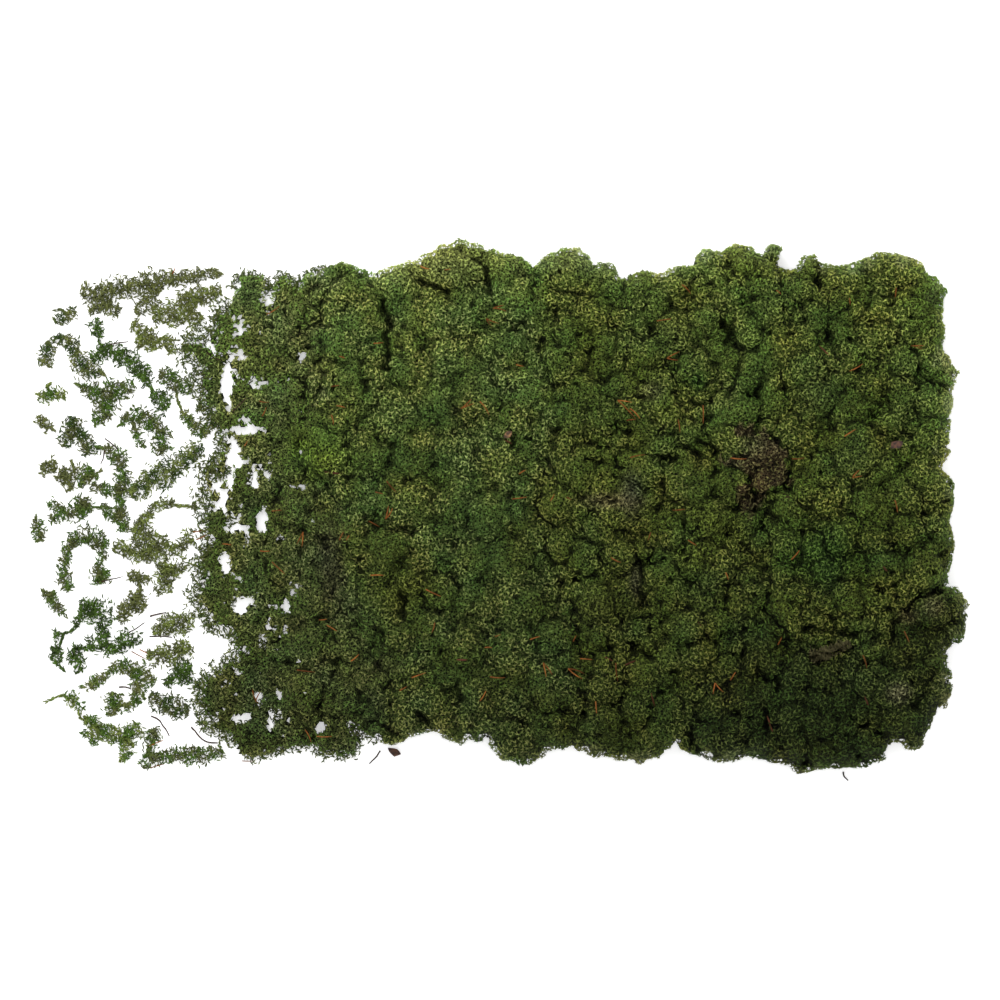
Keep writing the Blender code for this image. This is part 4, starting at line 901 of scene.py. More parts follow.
def map_moss(rng):
    """The clump of each cell, the height of the moss there and its distance to a free edge."""
    names = list(THICKNESS)
    rings = clump_rings()
    owner = np.full(SHAPE, -1)
    thick = np.zeros(SHAPE)
    torn = np.clip((columns - TORN_COLUMNS[0]) / (TORN_COLUMNS[1] - TORN_COLUMNS[0]), 0, 1)
    torn = TORN_THICKNESS[0] + (TORN_THICKNESS[1] - TORN_THICKNESS[0]) * torn
    order = ["left_edge_clump"] + names
    for i, name in enumerate(order):
        mask = filled(rings[name][0])
        owner[mask] = i
        thick[mask] = THICKNESS[name] if name in THICKNESS else np.broadcast_to(torn, SHAPE)[mask]
    plain = np.meshgrid(columns.astype(float), rows.astype(float))
    grid = warped(rng)
    margin = sum(shift for _, shift in WARPS)
    for px, py, half_width, half_height in HOLES:
        bend = 1 + mixed(rng, HOLE_NOISE)
        x, y = (plain[0] - px) / half_width, (plain[1] - py) / half_height
        owner[x * x + y * y < bend] = -1
    across = (plain[0] - RAGGED_COLUMNS[0]) / RAGGED_COLUMNS[1]
    owner[(owner == 0) & (mixed(rng, RAGGED_NOISE) > RAGGED[0] + RAGGED[1] * across)] = -1
    free_edges = [edge for ring in rings.values() for run in ring[1:] for edge in pairs(run, False)]
    seams = [
        SEAM_LEFT, SEAM_MIDDLE, SEAM_RIGHT_TOP + CURL_LEFT + SEAM_RIGHT_MIDDLE,
        SEAM_RIGHT_LOWER, CURL_RIGHT, SEAM_RIGHT_MIDDLE[-1:] + SEAM_ACROSS,
    ]
    free = nearest(free_edges, FREE_REACH, plain) - BITE * np.clip(mixed(rng, BITE_NOISE), 0, 1)
    kept = blurred(((owner >= 0) & (free >= 0)).astype(float), EDGE_SMOOTH) > 0.5
    owner[np.where(owner > 0, ~kept, free < 0)] = -1
    free = np.maximum(free, 0) * PIXEL
    covered = blurred((owner >= 0).astype(float), SEAM_BLEND)
    thick = blurred(np.where(owner >= 0, thick, 0), SEAM_BLEND)
    thick = thick / np.maximum(covered, LEAST_COVER)
    seam_edges = [edge for run in seams for edge in pairs(run, False)]
    seam = nearest(seam_edges, SEAM_REACH, grid, margin) * PIXEL
    roll = np.where(owner == 0, TORN_ROLL, FREE_ROLL)
    step, mean, swing, most = GROOVE
    groove = np.clip(mean + swing * noise_map(rng, step), 0, most)
    groove = groove * (1 - rounded(seam, SEAM_ROLL, SEAM_RIM))
    share = rounded(free, roll, FREE_RIM) * (1 - groove)
    dome, step = domed(cushions(), DOME, grid)
    lobe, _ = domed(lobes(rng), LOBE_RISE, grid)
    crease = CREASE * np.maximum(0, 1 - step / CREASE_SPAN) * (1 + noise_map(rng, CREASE_STEP))
    scale = share * np.minimum(1, thick / FULL_RELIEF)
    strength = np.array([RELIEF[name] for name in order])[np.maximum(owner, 0)]
    rough = mixed(rng, ROUGHNESS)
    pit = PIT_DEPTH * np.clip(mixed(rng, PIT_NOISE) - PIT_SHARE, 0, 1)
    relief = (dome - DIP - crease - pit) * strength + lobe - LOBE_DIP + rough
    height = thick * share + relief * scale
    for run, half_width, depth in CREVICES:
        reach = nearest(pairs(run, False), 3 * half_width, grid, margin)
        height -= depth * np.exp(-(reach / half_width) ** 2) * scale
    height = np.where(owner >= 0, np.maximum(height, BODY_FLOOR), 0.0)
    return order, owner, height, free


def at_cells(values, x, y):
    """Map values at plan places, from the nearest cell."""
    column = np.rint(x / PIXEL + PHOTO_MIDDLE[0]).astype(int) - MAP_BOX[0]
    row = np.rint(PHOTO_MIDDLE[1] - y / PIXEL).astype(int) - MAP_BOX[1]
    inside = (column >= 0) & (column < SHAPE[1]) & (row >= 0) & (row < SHAPE[0])
    found = values[np.clip(row, 0, SHAPE[0] - 1), np.clip(column, 0, SHAPE[1] - 1)]
    return found, inside


def bilinear(values, x, y):
    """Map values at plan places, smooth between cells."""
    column = np.clip(x / PIXEL + PHOTO_MIDDLE[0] - MAP_BOX[0], 0, SHAPE[1] - 1.001)
    row = np.clip(PHOTO_MIDDLE[1] - y / PIXEL - MAP_BOX[1], 0, SHAPE[0] - 1.001)
    c, r = column.astype(int), row.astype(int)
    u, v = column - c, row - r
    top = values[r, c] * (1 - u) + values[r, c + 1] * u
    foot = values[r + 1, c] * (1 - u) + values[r + 1, c + 1] * u
    return top * (1 - v) + foot * v


def map_colours(order, owner, height, rng):
    """Colour of the strand tips and of the strands beneath, for each cell of the map, with painted
    shade and light.
    """
    tips, deep = np.zeros(SHAPE + (3,)), np.zeros(SHAPE + (3,))
    nearest_owner = np.where(owner < 0, 0, owner)
    shift_x, shift_y = (mixed(rng, BORDER_NOISE) for _ in range(2))
    grid_x, grid_y = np.meshgrid(np.arange(SHAPE[1]), np.arange(SHAPE[0]))
    from_x = np.clip((grid_x + shift_x).astype(int), 0, SHAPE[1] - 1)
    from_y = np.clip((grid_y + shift_y).astype(int), 0, SHAPE[0] - 1)
    mixed_owner = nearest_owner[from_y, from_x]
    pale = np.clip(0.5 + mixed(rng, PALE_NOISE), 0, 1)[..., None]
    for i, name in enumerate(order):
        mine = mixed_owner == i
        first, second, third = (linear(look) for look in LOOKS[name])
        tips[mine] = (second + (first - second) * pale)[mine]
        deep[mine] = third
    for px, py, half_width, half_height, colour, share in PATCHES:
        x, y = (columns[None, :] - px) / half_width, (rows[:, None] - py) / half_height
        mix = (share * np.exp(-((x * x + y * y) ** 1.5)))[..., None]
        tips = tips * (1 - mix) + linear(colour) * PATCH_LIGHT * mix
        deep = deep * (1 - mix) + linear(colour) * PATCH_LIGHT * PATCH_DEEP * mix
    drift = 1 + mixed(rng, DRIFT_NOISE)
    warm = mixed(rng, WARM_NOISE)
    # Painted shade and light: cells below their surroundings are darkened, partly as darker dead
    # moss, and higher ones lightened
    lie = sum((height - blurred(height, reach)) / depth for reach, depth in HOLLOWS)
    sky, least, most = PAINTED_SHADE_AND_DEAD_MOSS
    painted_shade_and_dead_moss = np.clip(sky + lie, least, most)
    # Painted light: brighter at the top rows of the mass, darker towards its foot
    top, slope, least, most = PAINTED_LIGHT_FALL
    fade = np.clip(top - slope * (rows[:, None] - PAINTED_LIGHT_ROWS[0]) / PAINTED_LIGHT_ROWS[1], least, most)
    bright = (drift * painted_shade_and_dead_moss * fade)[..., None]
    hue = np.stack([1 + warm, np.ones(SHAPE), 1 - warm], -1)
    return tips * bright * hue, deep * bright * hue


def spread(points, gap):
    """Indices of points, in their order, that keep at least gap from the ones kept before."""
    cells, kept = {}, []
    keys = np.floor(points / gap).astype(int).tolist()
    square = gap * gap
    around = [(i, j, k) for i in (0, -1, 1) for j in (0, -1, 1) for k in (0, -1, 1)]
    for index, ((a, b, c), (x, y, z)) in enumerate(zip(keys, points.tolist())):
        for i, j, k in around:
            found = cells.get((a + i, b + j, c + k))
            if found and any(
                (x - p) ** 2 + (y - q) ** 2 + (z - r) ** 2 < square for p, q, r in found
            ):
                break
        else:
            cells.setdefault((a, b, c), []).append((x, y, z))
            kept.append(index)
    return np.array(kept)


def places_on_moss(owner, height, rng):
    """Where the branchlets stand: points on the surface, their outward directions and lean."""
    slope_y, slope_x = np.gradient(height, PIXEL)
    area = np.minimum(np.sqrt(1 + slope_x ** 2 + slope_y ** 2), STEEPEST)
    cells = np.nonzero(owner.ravel() >= 0)[0]
    weight = area.ravel()[cells]
    chosen = rng.choice(cells, CANDIDATES, p=weight / weight.sum())
    px = columns[chosen % SHAPE[1]] + rng.uniform(-0.5, 0.5, CANDIDATES)
    py = rows[chosen // SHAPE[1]] + rng.uniform(-0.5, 0.5, CANDIDATES)
    x, y = metres(px, py)
    normal = np.stack([
        -slope_x.ravel()[chosen], slope_y.ravel()[chosen], np.ones(CANDIDATES),
    ], 1)
    points = np.stack([x, y, bilinear(height, x, y)], 1)
    soft = blurred((owner >= 0).astype(float), RIM_BLUR)
    down_y, down_x = np.gradient(soft)
    rim = np.nonzero(((owner >= 0) & (soft < RIM_COVER)).ravel())[0]
    picked = rng.choice(rim, WALL_CANDIDATES)
    out = unit(np.stack([-down_x.ravel()[picked], down_y.ravel()[picked]], 1) + 1e-6)
    x, y = metres(
        columns[picked % SHAPE[1]] + rng.uniform(-0.5, 0.5, WALL_CANDIDATES),
        rows[picked // SHAPE[1]] + rng.uniform(-0.5, 0.5, WALL_CANDIDATES),
    )
    room = np.maximum(bilinear(height, x, y) - BODY_FLOOR - WALL_MARGIN, WALL_ROOM)
    z = BODY_FLOOR + WALL_FOOT + rng.uniform(0, 1, WALL_CANDIDATES) * room
    points = np.concatenate([points, np.column_stack([x, y, z])])
    wall = np.column_stack([out * WALL_LEAN[0], np.full(len(out), WALL_LEAN[1])])
    normal = np.concatenate([unit(normal), wall])
    lean = np.concatenate([np.zeros((CANDIDATES, 3)), np.column_stack([out, np.zeros(len(out))])])
    return points, unit(normal), lean


def mesh_of(name, verts, faces, colours, materials, face_materials=None):
    """An object from arrays of points, triangles and point colours."""
    mesh = bpy.data.meshes.new(name)
    mesh.vertices.add(len(verts))
    mesh.vertices.foreach_set("co", np.ascontiguousarray(verts, np.float32).ravel())
    mesh.loops.add(faces.size)
    mesh.loops.foreach_set("vertex_index", np.ascontiguousarray(faces, np.int32).ravel())
    mesh.polygons.add(len(faces))
    mesh.polygons.foreach_set("loop_start", np.arange(0, faces.size, faces.shape[1], dtype=np.int32))
    if face_materials is not None:
        mesh.polygons.foreach_set("material_index", np.ascontiguousarray(face_materials, np.int32))
    mesh.update(calc_edges=True)
    tint = mesh.color_attributes.new("tint", "FLOAT_COLOR", "POINT")
    rgba = np.concatenate([np.clip(colours, 0, 1), np.ones((len(colours), 1))], 1)
    tint.data.foreach_set("color", rgba.astype(np.float32).ravel())
    for material in materials:
        mesh.materials.append(material)
    made = bpy.data.objects.new(name, mesh)
    bpy.context.scene.collection.objects.link(made)
    return made


def threads(paths, radii, shades, blunt=False):
    """Closed three-sided threads through rows of points, pointed at both ends unless blunt.

    paths is threads x points x 3, radii threads x points, shades threads x points x 3. A blunt
    thread starts with a flat end instead.
    """
    count = len(radii)
    along = unit(np.gradient(paths, axis=1))
    across = unit(np.cross(along, THREAD_UP))
    lift = np.cross(across, along)
    corners = []
    for turn in (math.pi / 2, math.pi * 7 / 6, math.pi * 11 / 6):
        corners.append(paths + (across * math.cos(turn) + lift * math.sin(turn)) * radii[..., None])
    first = 0 if blunt else 1
    rings = np.stack(corners, 2)[:, first:-1].reshape(count, -1, 3)
    colours = np.repeat(shades[:, first:-1], 3, axis=1)
    last = first + rings.shape[1] - 3
    one = [(0, 2, 1)] if blunt else [(0, 1 + (k + 1) % 3, 1 + k) for k in range(3)]
    for ring in range(first, last, 3):
        for k in range(3):
            a, b = ring + k, ring + (k + 1) % 3
            one += [(a, b, b + 3), (a, b + 3, a + 3)]
    one += [(last + k, last + (k + 1) % 3, last + 3) for k in range(3)]
    verts = np.concatenate([paths[:, :first], rings, paths[:, -1:]], 1)
    colours = np.concatenate([shades[:, :first], colours, shades[:, -1:]], 1)
    faces = (np.arange(count)[:, None, None] * verts.shape[1] + np.array(one)[None]).reshape(-1, 3)
    return verts.reshape(-1, 3), faces, colours.reshape(-1, 3)


def branchlets(points, normals, lean, tips, deep, rng):
    """Forked threads that rise from the body to each point and run on along the surface."""
    count = len(points)
    loose = rng.normal(size=(count, 3)) + lean * LEAN
    flat = unit(loose - normals * (loose * normals).sum(1, keepdims=True))
    side = np.cross(normals, flat)
    run = rng.uniform(*RUN, (count, 1))
    depth = rng.uniform(*ROOT_DEPTH, (count, 1))
    bend = rng.uniform(-BEND, BEND, (count, 1))
    rise = rng.uniform(*RISE, (count, 1))
    light = rng.uniform(*LIGHT, (count, 1))
    up = normals * UPRIGHT[0] + np.array([0, 0, UPRIGHT[1]])

    def spot(place, more=0.0):
        ahead, aside, lift = place
        return points + flat * run * ahead + side * run * bend * aside + up * (lift + more + rise)

    foot, knee, ridge = spot(FOOT, -depth), spot(KNEE), spot(RIDGE)
    tip = spot(TIP, TIP_LIFT * rng.uniform(-1, 1, (count, 1)))
    main = np.stack([foot, knee, ridge, tip], 1)
    thick = rng.uniform(*STRAND_RADIUS, (count, 1)) * MAIN_TAPER
    # The foot takes the deep colour halved, partly as painted shade down in the moss
    shades = np.stack([deep * FOOT_SHADE] + [tips * share * light for share in MAIN_SHADES], 1)
    made = [threads(main, thick, shades)]
    way = np.where(rng.uniform(size=(count, 1)) < 0.5, -1.0, 1.0)
    start = knee * (1 - PRONG_START) + ridge * PRONG_START
    reach = rng.uniform(*PRONG, (count, 1))
    angle = rng.uniform(*PRONG_ANGLE, (count, 1))
    heading = flat * np.cos(angle) + side * way * np.sin(angle)
    middle = start + heading * reach * 0.5 + up * PRONG_LIFT
    drop = up * rng.uniform(*PRONG_DROP, (count, 1))
    end = start + (heading + side * way * PRONG_SWEEP) * reach + drop
    thin = rng.uniform(*STRAND_RADIUS, (count, 1)) * PRONG_TAPER
    shades = np.stack([tips * share * light for share in PRONG_SHADES], 1)
    made.append(threads(np.stack([start, middle, end], 1), thin, shades, True))
    return joined(made)


def joined(parts):
    """Several pieces of points, faces and colours as one."""
    verts, faces, colours, start = [], [], [], 0
    for made, sides, shade in parts:
        verts.append(made)
        faces.append(sides + start)
        colours.append(shade)
        start += len(made)
    return np.concatenate(verts), np.concatenate(faces), np.concatenate(colours)


def body(owner_index, owner, height, free, deep, rng):
    """The clump's body on a jittered lattice: closed by an underside and by walls."""
    pitch = BODY_PITCH
    low_x, low_y = metres(MAP_BOX[0], MAP_BOX[3])
    high_x, high_y = metres(MAP_BOX[2], MAP_BOX[1])
    wide, high = int((high_x - low_x) / pitch), int((high_y - low_y) / (pitch * ROW_PITCH))
    draw = np.random.default_rng(SEED)
    c, r = np.meshgrid(np.arange(wide), np.arange(high))
    x = low_x + (c + 0.5 * (r % 2) + draw.uniform(-BODY_JITTER, BODY_JITTER, c.shape)) * pitch
    y = low_y + (r * ROW_PITCH + draw.uniform(-BODY_JITTER, BODY_JITTER, c.shape)) * pitch
    index = r * wide + c
    a, b, d, e = index[:-1, :-1], index[:-1, 1:], index[1:, :-1], index[1:, 1:]
    odd = (r[:-1, :-1] % 2 == 1)[..., None, None]
    even_pair = np.stack([np.stack([a, b, d], -1), np.stack([b, e, d], -1)], -2)
    odd_pair = np.stack([np.stack([a, b, e], -1), np.stack([a, e, d], -1)], -2)
    faces = np.where(odd, odd_pair, even_pair).reshape(-1, 3)
    x, y = x.ravel(), y.ravel()
    mine, known = at_cells(owner, x[faces].mean(1), y[faces].mean(1))
    edge, _ = at_cells(free, x, y)
    inset = TORN_INSET if owner_index == 0 else BODY_INSET
    faces = faces[(mine == owner_index) & known & (edge[faces].min(1) > inset)]
    used, faces = np.unique(faces, return_inverse=True)
    faces = faces.reshape(-1, 3)
    x, y = x[used], y[used]
    top = np.maximum(bilinear(height, x, y) - BODY_SINK, BODY_LEAST)
    foot = rng.uniform(*UNDERSIDE, len(x))
    count = len(x)
    verts = np.concatenate([np.column_stack([x, y, top]), np.column_stack([x, y, foot])])
    edges = np.concatenate([faces[:, [0, 1]], faces[:, [1, 2]], faces[:, [2, 0]]])
    codes = edges[:, 0] * count + edges[:, 1]
    twins = edges[:, 1] * count + edges[:, 0]
    rim = edges[~np.isin(codes, twins)]
    walls = np.concatenate([
        np.column_stack([rim[:, 0], rim[:, 0] + count, rim[:, 1] + count]),
        np.column_stack([rim[:, 0], rim[:, 1] + count, rim[:, 1]]),
    ])
    shade, _ = at_cells(deep, x, y)
    # The underside takes the deep colour darkened further, as painted shade
    return verts, np.concatenate([faces, faces[:, ::-1] + count, walls]), np.concatenate([
        shade, shade * UNDERSIDE_PAINTED_SHADE,
    ])


def material(name, roughness, specular=0.5):
    """A new material with its nodes, links and shader."""
    made = bpy.data.materials.new(name)
    made.use_nodes = True
    nodes, links = made.node_tree.nodes, made.node_tree.links
    shader = nodes["Principled BSDF"]
    shader.inputs["Roughness"].default_value = roughness
    shader.inputs["Specular IOR Level"].default_value = specular
    return made, nodes, links, shader


def node(nodes, kind, **values):
    """A new node; each value goes to the input of that name, or else to the node itself."""
    made = nodes.new(kind)
    for key, value in values.items():
        if key in made.inputs:
            made.inputs[key].default_value = value
        else:
            setattr(made, key, value)
    return made


def scaled_tint(nodes, links, factor):
    """The point colour times a grey factor."""
    tint = node(nodes, "ShaderNodeAttribute", attribute_name="tint")
    mix = node(nodes, "ShaderNodeVectorMath", operation="MULTIPLY")
    links.new(tint.outputs["Color"], mix.inputs[0])
    links.new(factor, mix.inputs[1])
    return mix.outputs[0]


def grain(nodes, links, scale, detail):
    """A noise in the object's own metres."""
    place = nodes.new("ShaderNodeTexCoord")
    noise = node(nodes, "ShaderNodeTexNoise", Scale=scale, Detail=detail)
    links.new(place.outputs["Object"], noise.inputs["Vector"])
    return place, noise


def ramped(nodes, links, value, *stops):
    """A colour ramp with two stops, each a position and a colour."""
    ramp = nodes.new("ShaderNodeValToRGB")
    for element, (position, colour) in zip(ramp.color_ramp.elements, stops):
        element.position = position
        element.color = (*colour, 1)
    links.new(value, ramp.inputs["Fac"])
    return ramp.outputs["Color"]


def bumped(nodes, links, value, shader, strength, distance, invert=False):
    """Bumps on a shader, high where the value is high, or low there when inverted."""
    bump = node(nodes, "ShaderNodeBump", Strength=strength, Distance=distance, invert=invert)
    links.new(value, bump.inputs["Height"])
    links.new(bump.outputs["Normal"], shader.inputs["Normal"])


def strand_material(name):
    """Dry lichen strands: the point colour, speckled, with a granular surface."""
    made, nodes, links, shader = material(name, 0.82, 0.12)
    _, speckle = grain(nodes, links, *STRAND_GRAIN)
    bright = node(nodes, "ShaderNodeMapRange", **STRAND_RANGE)
    links.new(speckle.outputs["Fac"], bright.inputs["Value"])
    links.new(scaled_tint(nodes, links, bright.outputs["Result"]), shader.inputs["Base Color"])
    bumped(nodes, links, speckle.outputs["Fac"], shader, *STRAND_BUMP)
    return made


def body_material(name):
    """The moss beneath: a net of strands over dark gaps, which are painted shade for the holes into
    the moss.
    """
    made, nodes, links, shader = material(name, 0.9, 0.1)
    place, wobble = grain(nodes, links, *BODY_GRAIN)
    shift = node(nodes, "ShaderNodeVectorMath", operation="MULTIPLY_ADD")
    shift.inputs[1].default_value = (NET_SHIFT, NET_SHIFT, NET_SHIFT)
    links.new(wobble.outputs["Color"], shift.inputs[0])
    links.new(place.outputs["Object"], shift.inputs[2])
    net = node(nodes, "ShaderNodeTexVoronoi", feature="DISTANCE_TO_EDGE", Scale=NET_SCALE)
    links.new(shift.outputs[0], net.inputs["Vector"])
    pattern = ramped(nodes, links, net.outputs["Distance"], *NET_AND_PAINTED_GAP_STOPS)
    links.new(scaled_tint(nodes, links, pattern), shader.inputs["Base Color"])
    bumped(nodes, links, net.outputs["Distance"], shader, *BODY_BUMP, invert=True)
    return made


def settle(piece, slot, *nodes):
    """Fixes a piece to the part, in place of nodes of the source. The slot is not used."""
    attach(piece, "root")
    if nodes:
        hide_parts(*nodes)
    return piece


def build_clumps():
    """A netted body and branchlets for each clump; returns the height map."""
    rng = np.random.default_rng(SEED)
    order, owner, height, free = map_moss(rng)
    tips, deep = map_colours(order, owner, height, rng)
    points, normals, lean = places_on_moss(owner, height, rng)
    shuffled = rng.permutation(len(points))
    kept = shuffled[spread(points[shuffled], GAP)]
    points, normals, lean = points[kept], normals[kept], lean[kept]
    mine, _ = at_cells(owner, points[:, 0], points[:, 1])
    tip_colour, _ = at_cells(tips, points[:, 0], points[:, 1])
    deep_colour, _ = at_cells(deep, points[:, 0], points[:, 1])
    for k in (0, 1):
        lean[:, k] += bilinear(mixed(rng, LEAN_NOISE), points[:, 0], points[:, 1])
    for px, py, radius, angle in COMBS:
        x, y = metres(px, py)
        near = np.exp(-((np.hypot(points[:, 0] - x, points[:, 1] - y) / (radius * PIXEL)) ** 2))
        lean[:, 0] += COMB_LEAN * near * math.cos(math.radians(angle))
        lean[:, 1] += COMB_LEAN * near * math.sin(math.radians(angle))
    for i, name in enumerate(order):
        own_strands = strand_material(SLOTS[name] + "_strands")
        own_body = body_material(SLOTS[name] + "_body")
        verts, faces, colours = body(i, owner, height, free, deep, rng)
        short = name.replace("_clump", "")
        piece = mesh_of(short + "_body", verts, faces, colours, [own_body])
        settle(piece, SLOTS[name], name)
        select = mine == i
        halves = [select]
        if name in HALVED:
            upper = points[:, 1] > np.median(points[select, 1])
            halves = [select & upper, select & ~upper]
        for k, half in enumerate(halves, 1):
            verts, faces, colours = branchlets(
                points[half], normals[half], lean[half], tip_colour[half], deep_colour[half], rng
            )
            verts[:, 2] = np.maximum(verts[:, 2], LOWEST)
            piece = mesh_of(f"{short}_branchlets_{k}", verts, faces, colours, [own_strands])
            settle(piece, SLOTS[name], name)
    return height


def chain_path(chain, step=1.6):
    """A smooth path through a chain's points: pixels and half width, about step pixels apart."""
    points = np.array([chain[0], *chain, chain[-1]], float)
    path = []
    for a, b, c, d in zip(points, points[1:], points[2:], points[3:]):
        count = max(1, round(math.dist(b[:2], c[:2]) / step))
        t = np.arange(count)[:, None] / count
        path.append(0.5 * (
            2 * b + (c - a) * t + (2 * a - 5 * b + 4 * c - d) * t ** 2
            + (3 * b - a - 3 * c + d) * t ** 3
        ))
    return np.concatenate([*path, points[-1:]])


def smooth_walk(count, step, rng):
    """Smooth random values from -1 to 1 along a path."""
    knots = rng.uniform(-1, 1, int(count / step) + 3)
    return np.interp(np.arange(count) / step, np.arange(len(knots)), knots)


def tufted(chains, ground, tall, rng, colour_at, density=THREAD_DENSITY):
    """Airy tangled tufts along some chains: curly threads that wander across the chain's width."""
    made = []
    for chain in chains:
        path = chain_path(chain)
        half = np.maximum(path[:, 2], LEAST_HALF)
        along = unit(np.gradient(path[:, :2], axis=0))
        across = np.stack([-along[:, 1], along[:, 0]], 1)
        weight = half * np.hypot(*np.gradient(path[:, :2], axis=0).T)
        count = int(2 * weight.sum() * density) + 3
        at = rng.choice(len(path), count, p=weight / weight.sum())
        thin = half[at] < WISP
        wide = half[at] * np.where(thin, WISP_WIDTH, TUFT_WIDTH)
        off = rng.triangular(-TUFT_SPREAD, 0, TUFT_SPREAD, (count, 1)) * wide[:, None]
        blot = smooth_walk(len(path), BLOTS[0], rng)[at] * BLOTS[1] * np.sign(off[:, 0])
        off *= (1 + blot)[:, None]
        heading = np.arctan2(along[at, 1], along[at, 0])
        spin = np.where(
            thin, rng.normal(0, WISP_TURN, count), rng.uniform(-TUFT_TURN, TUFT_TURN, count)
        )
        length = np.where(
            thin, rng.uniform(*WISP_LENGTH, count), rng.uniform(*TUFT_LENGTH, count)
        )
        curl = np.where(
            thin, rng.normal(0, WISP_CURL, count), rng.normal(0, TUFT_CURL, count)
        )
        stride = length / (THREAD_POINTS - 1)
        turn = heading + spin - curl * length / 2
        plan = [np.zeros((count, 2))]
        for _ in range(THREAD_POINTS - 1):
            plan.append(plan[-1] + np.stack([np.cos(turn), np.sin(turn)], 1) * stride[:, None])
            turn = turn + curl * stride + rng.normal(0, WANDER, count)
        plan = np.stack(plan, 1)
        plan += (path[at, :2] + across[at] * off)[:, None] - plan.mean(1, keepdims=True)
        mound = np.minimum(tall, MOUND[0] + MOUND[1] * half[at])
        mound = mound * (1 - MOUND_FALL * np.minimum(1, (off[:, 0] / half[at]) ** 2))
        level = rng.uniform(*LEVEL, count)
        wave = rng.uniform(-LEVEL_WAVE, LEVEL_WAVE, (count, THREAD_POINTS)).cumsum(1)
        z = mound[:, None] * np.clip(level[:, None] + wave, *LEVEL_LIMITS)
        x, y = metres(plan[..., 0].ravel(), plan[..., 1].ravel())
        z = ground(x, y).reshape(z.shape) + np.maximum(z, LOWEST_THREAD)
        places = np.column_stack([x, y, z.ravel()]).reshape(count, THREAD_POINTS, 3)
        radii = rng.uniform(*THREAD_RADIUS, (count, 1)) * THREAD_TAPER
        radii = radii * np.where(thin, WISP_RADIUS, 1)[:, None]
        # Painted shade: the lower a thread lies in its tuft, the darker it is
        shade = colour_at(places[:, 2]) * (LEVEL_PAINTED_SHADE[0] + LEVEL_PAINTED_SHADE[1] * level[:, None])
        shade = shade * rng.uniform(*THREAD_SHADES, (count, 1))
        fade = np.linspace(*THREAD_FADE, THREAD_POINTS)[None, :, None]
        made.append(threads(places, radii, shade[:, None] * fade))
    verts, faces, colours = joined(made)
    verts[:, 2] = np.maximum(verts[:, 2], LOWEST)
    return verts, faces, colours


def level_ground(x, _):
    return np.zeros(np.shape(x))


def torn_chains(rng):
    """Chains of sprigs along the torn clump's free edge, and short ones all over it."""
    side, end = TORN_EDGE_WIDTHS
    chains = [[(x, y, side) for x, y in EDGE_LEFT_SIDE]]
    chains += [[(x, y, end) for x, y in edge] for edge in (EDGE_LEFT_TOP, EDGE_LEFT_FOOT)]
    inside = filled(clump_rings()["left_edge_clump"][0])
    low_x, high_x, low_y, high_y = TORN_PLACES
    thin, *middle = TORN_WIDTHS
    while len(chains) < TORN_CHAINS:
        px, py = rng.uniform(low_x, high_x), rng.uniform(low_y, high_y)
        if inside[int(py) - MAP_BOX[1], int(px) - MAP_BOX[0]]:
            turn, length = rng.uniform(0, math.pi), rng.uniform(*TORN_LENGTH)
            x, y = length * math.cos(turn), length * math.sin(turn)
            bend = rng.uniform(-TORN_BEND, TORN_BEND, 2)
            chains.append([
                (px - x, py - y, thin), (px + bend[0], py + bend[1], rng.uniform(*middle)),
                (px + x, py + y, thin),
            ])
    return chains


def build_fringe(height):
    """Each spray in its own colour, and ragged sprigs round the torn clump's edge and holes."""
    look = strand_material("fringe_moss_strands")
    along, across, swing = SWIRL
    for i, chains in enumerate(SPRAYS):
        rng = np.random.default_rng(SEED * 100 + i)
        looks = rng.choice(len(FRINGE_LOOKS), 2, replace=False)
        main, second = (linear(FRINGE_LOOKS[k]) for k in looks)
        swirl = rng.uniform(0, 6, 2)

        def colour_at(places, main=main, second=second, swirl=swirl):
            wave = np.sin(places[:, 0] * along + swirl[0]) * np.sin(places[:, 1] * across + swirl[1])
            share = np.clip(0.5 + swing * wave, 0, 1)[:, None]
            return main * (1 - share) + second * share

        made = tufted(chains, level_ground, TUFT_HEIGHT, rng, colour_at)
        piece = mesh_of(f"spray_{i + 1:02d}", *made, [look])
        settle(piece, "fringe_moss", f"fringe_spray_{i + 1:02d}")
    rng = np.random.default_rng(SEED * 100 + 99)
    chains = torn_chains(rng)

    def low_moss(x, y):
        return np.minimum(bilinear(height, x, y) * LOW_MOSS[0], LOW_MOSS[1])

    def torn_colour(places):
        share = rng.uniform(0, 1, (len(places), 1))
        return linear(FRINGE_LOOKS[0]) * share + linear(FRINGE_LOOKS[3]) * (1 - share)

    made = tufted(chains, low_moss, TORN_HEIGHT, rng, torn_colour, TORN_DENSITY)
    settle(mesh_of("torn_edge_sprigs", *made, [look]), "fringe_moss")


def tube(points, radii, sides, rng, shade, rough=0.0):
    """A closed tube of triangles through points, with its colour."""
    points = np.asarray(points, float)
    along = unit(np.gradient(points, axis=0))
    across = unit(np.cross(along, TUBE_UP))
    lift = np.cross(across, along)
    rings = []
    for k in range(sides):
        turn = 2 * math.pi * k / sides
        reach = np.asarray(radii) * (1 + rough * rng.uniform(-1, 1, len(points)))
        rings.append(points + (across * math.cos(turn) + lift * math.sin(turn)) * reach[:, None])
    verts = np.stack(rings, 1).reshape(-1, 3)
    faces = []
    for i in range(len(points) - 1):
        for k in range(sides):
            a, b = i * sides + k, i * sides + (k + 1) % sides
            faces += [(a, b, b + sides), (a, b + sides, a + sides)]
    last = (len(points) - 1) * sides
    faces += [(0, k + 1, k) for k in range(1, sides - 1)]
    faces += [(last, last + k, last + k + 1) for k in range(1, sides - 1)]
    colours = np.repeat(shade * rng.uniform(*TUBE_SHADES, (len(points), 1)), sides, 0)
    return verts, np.array(faces), colours


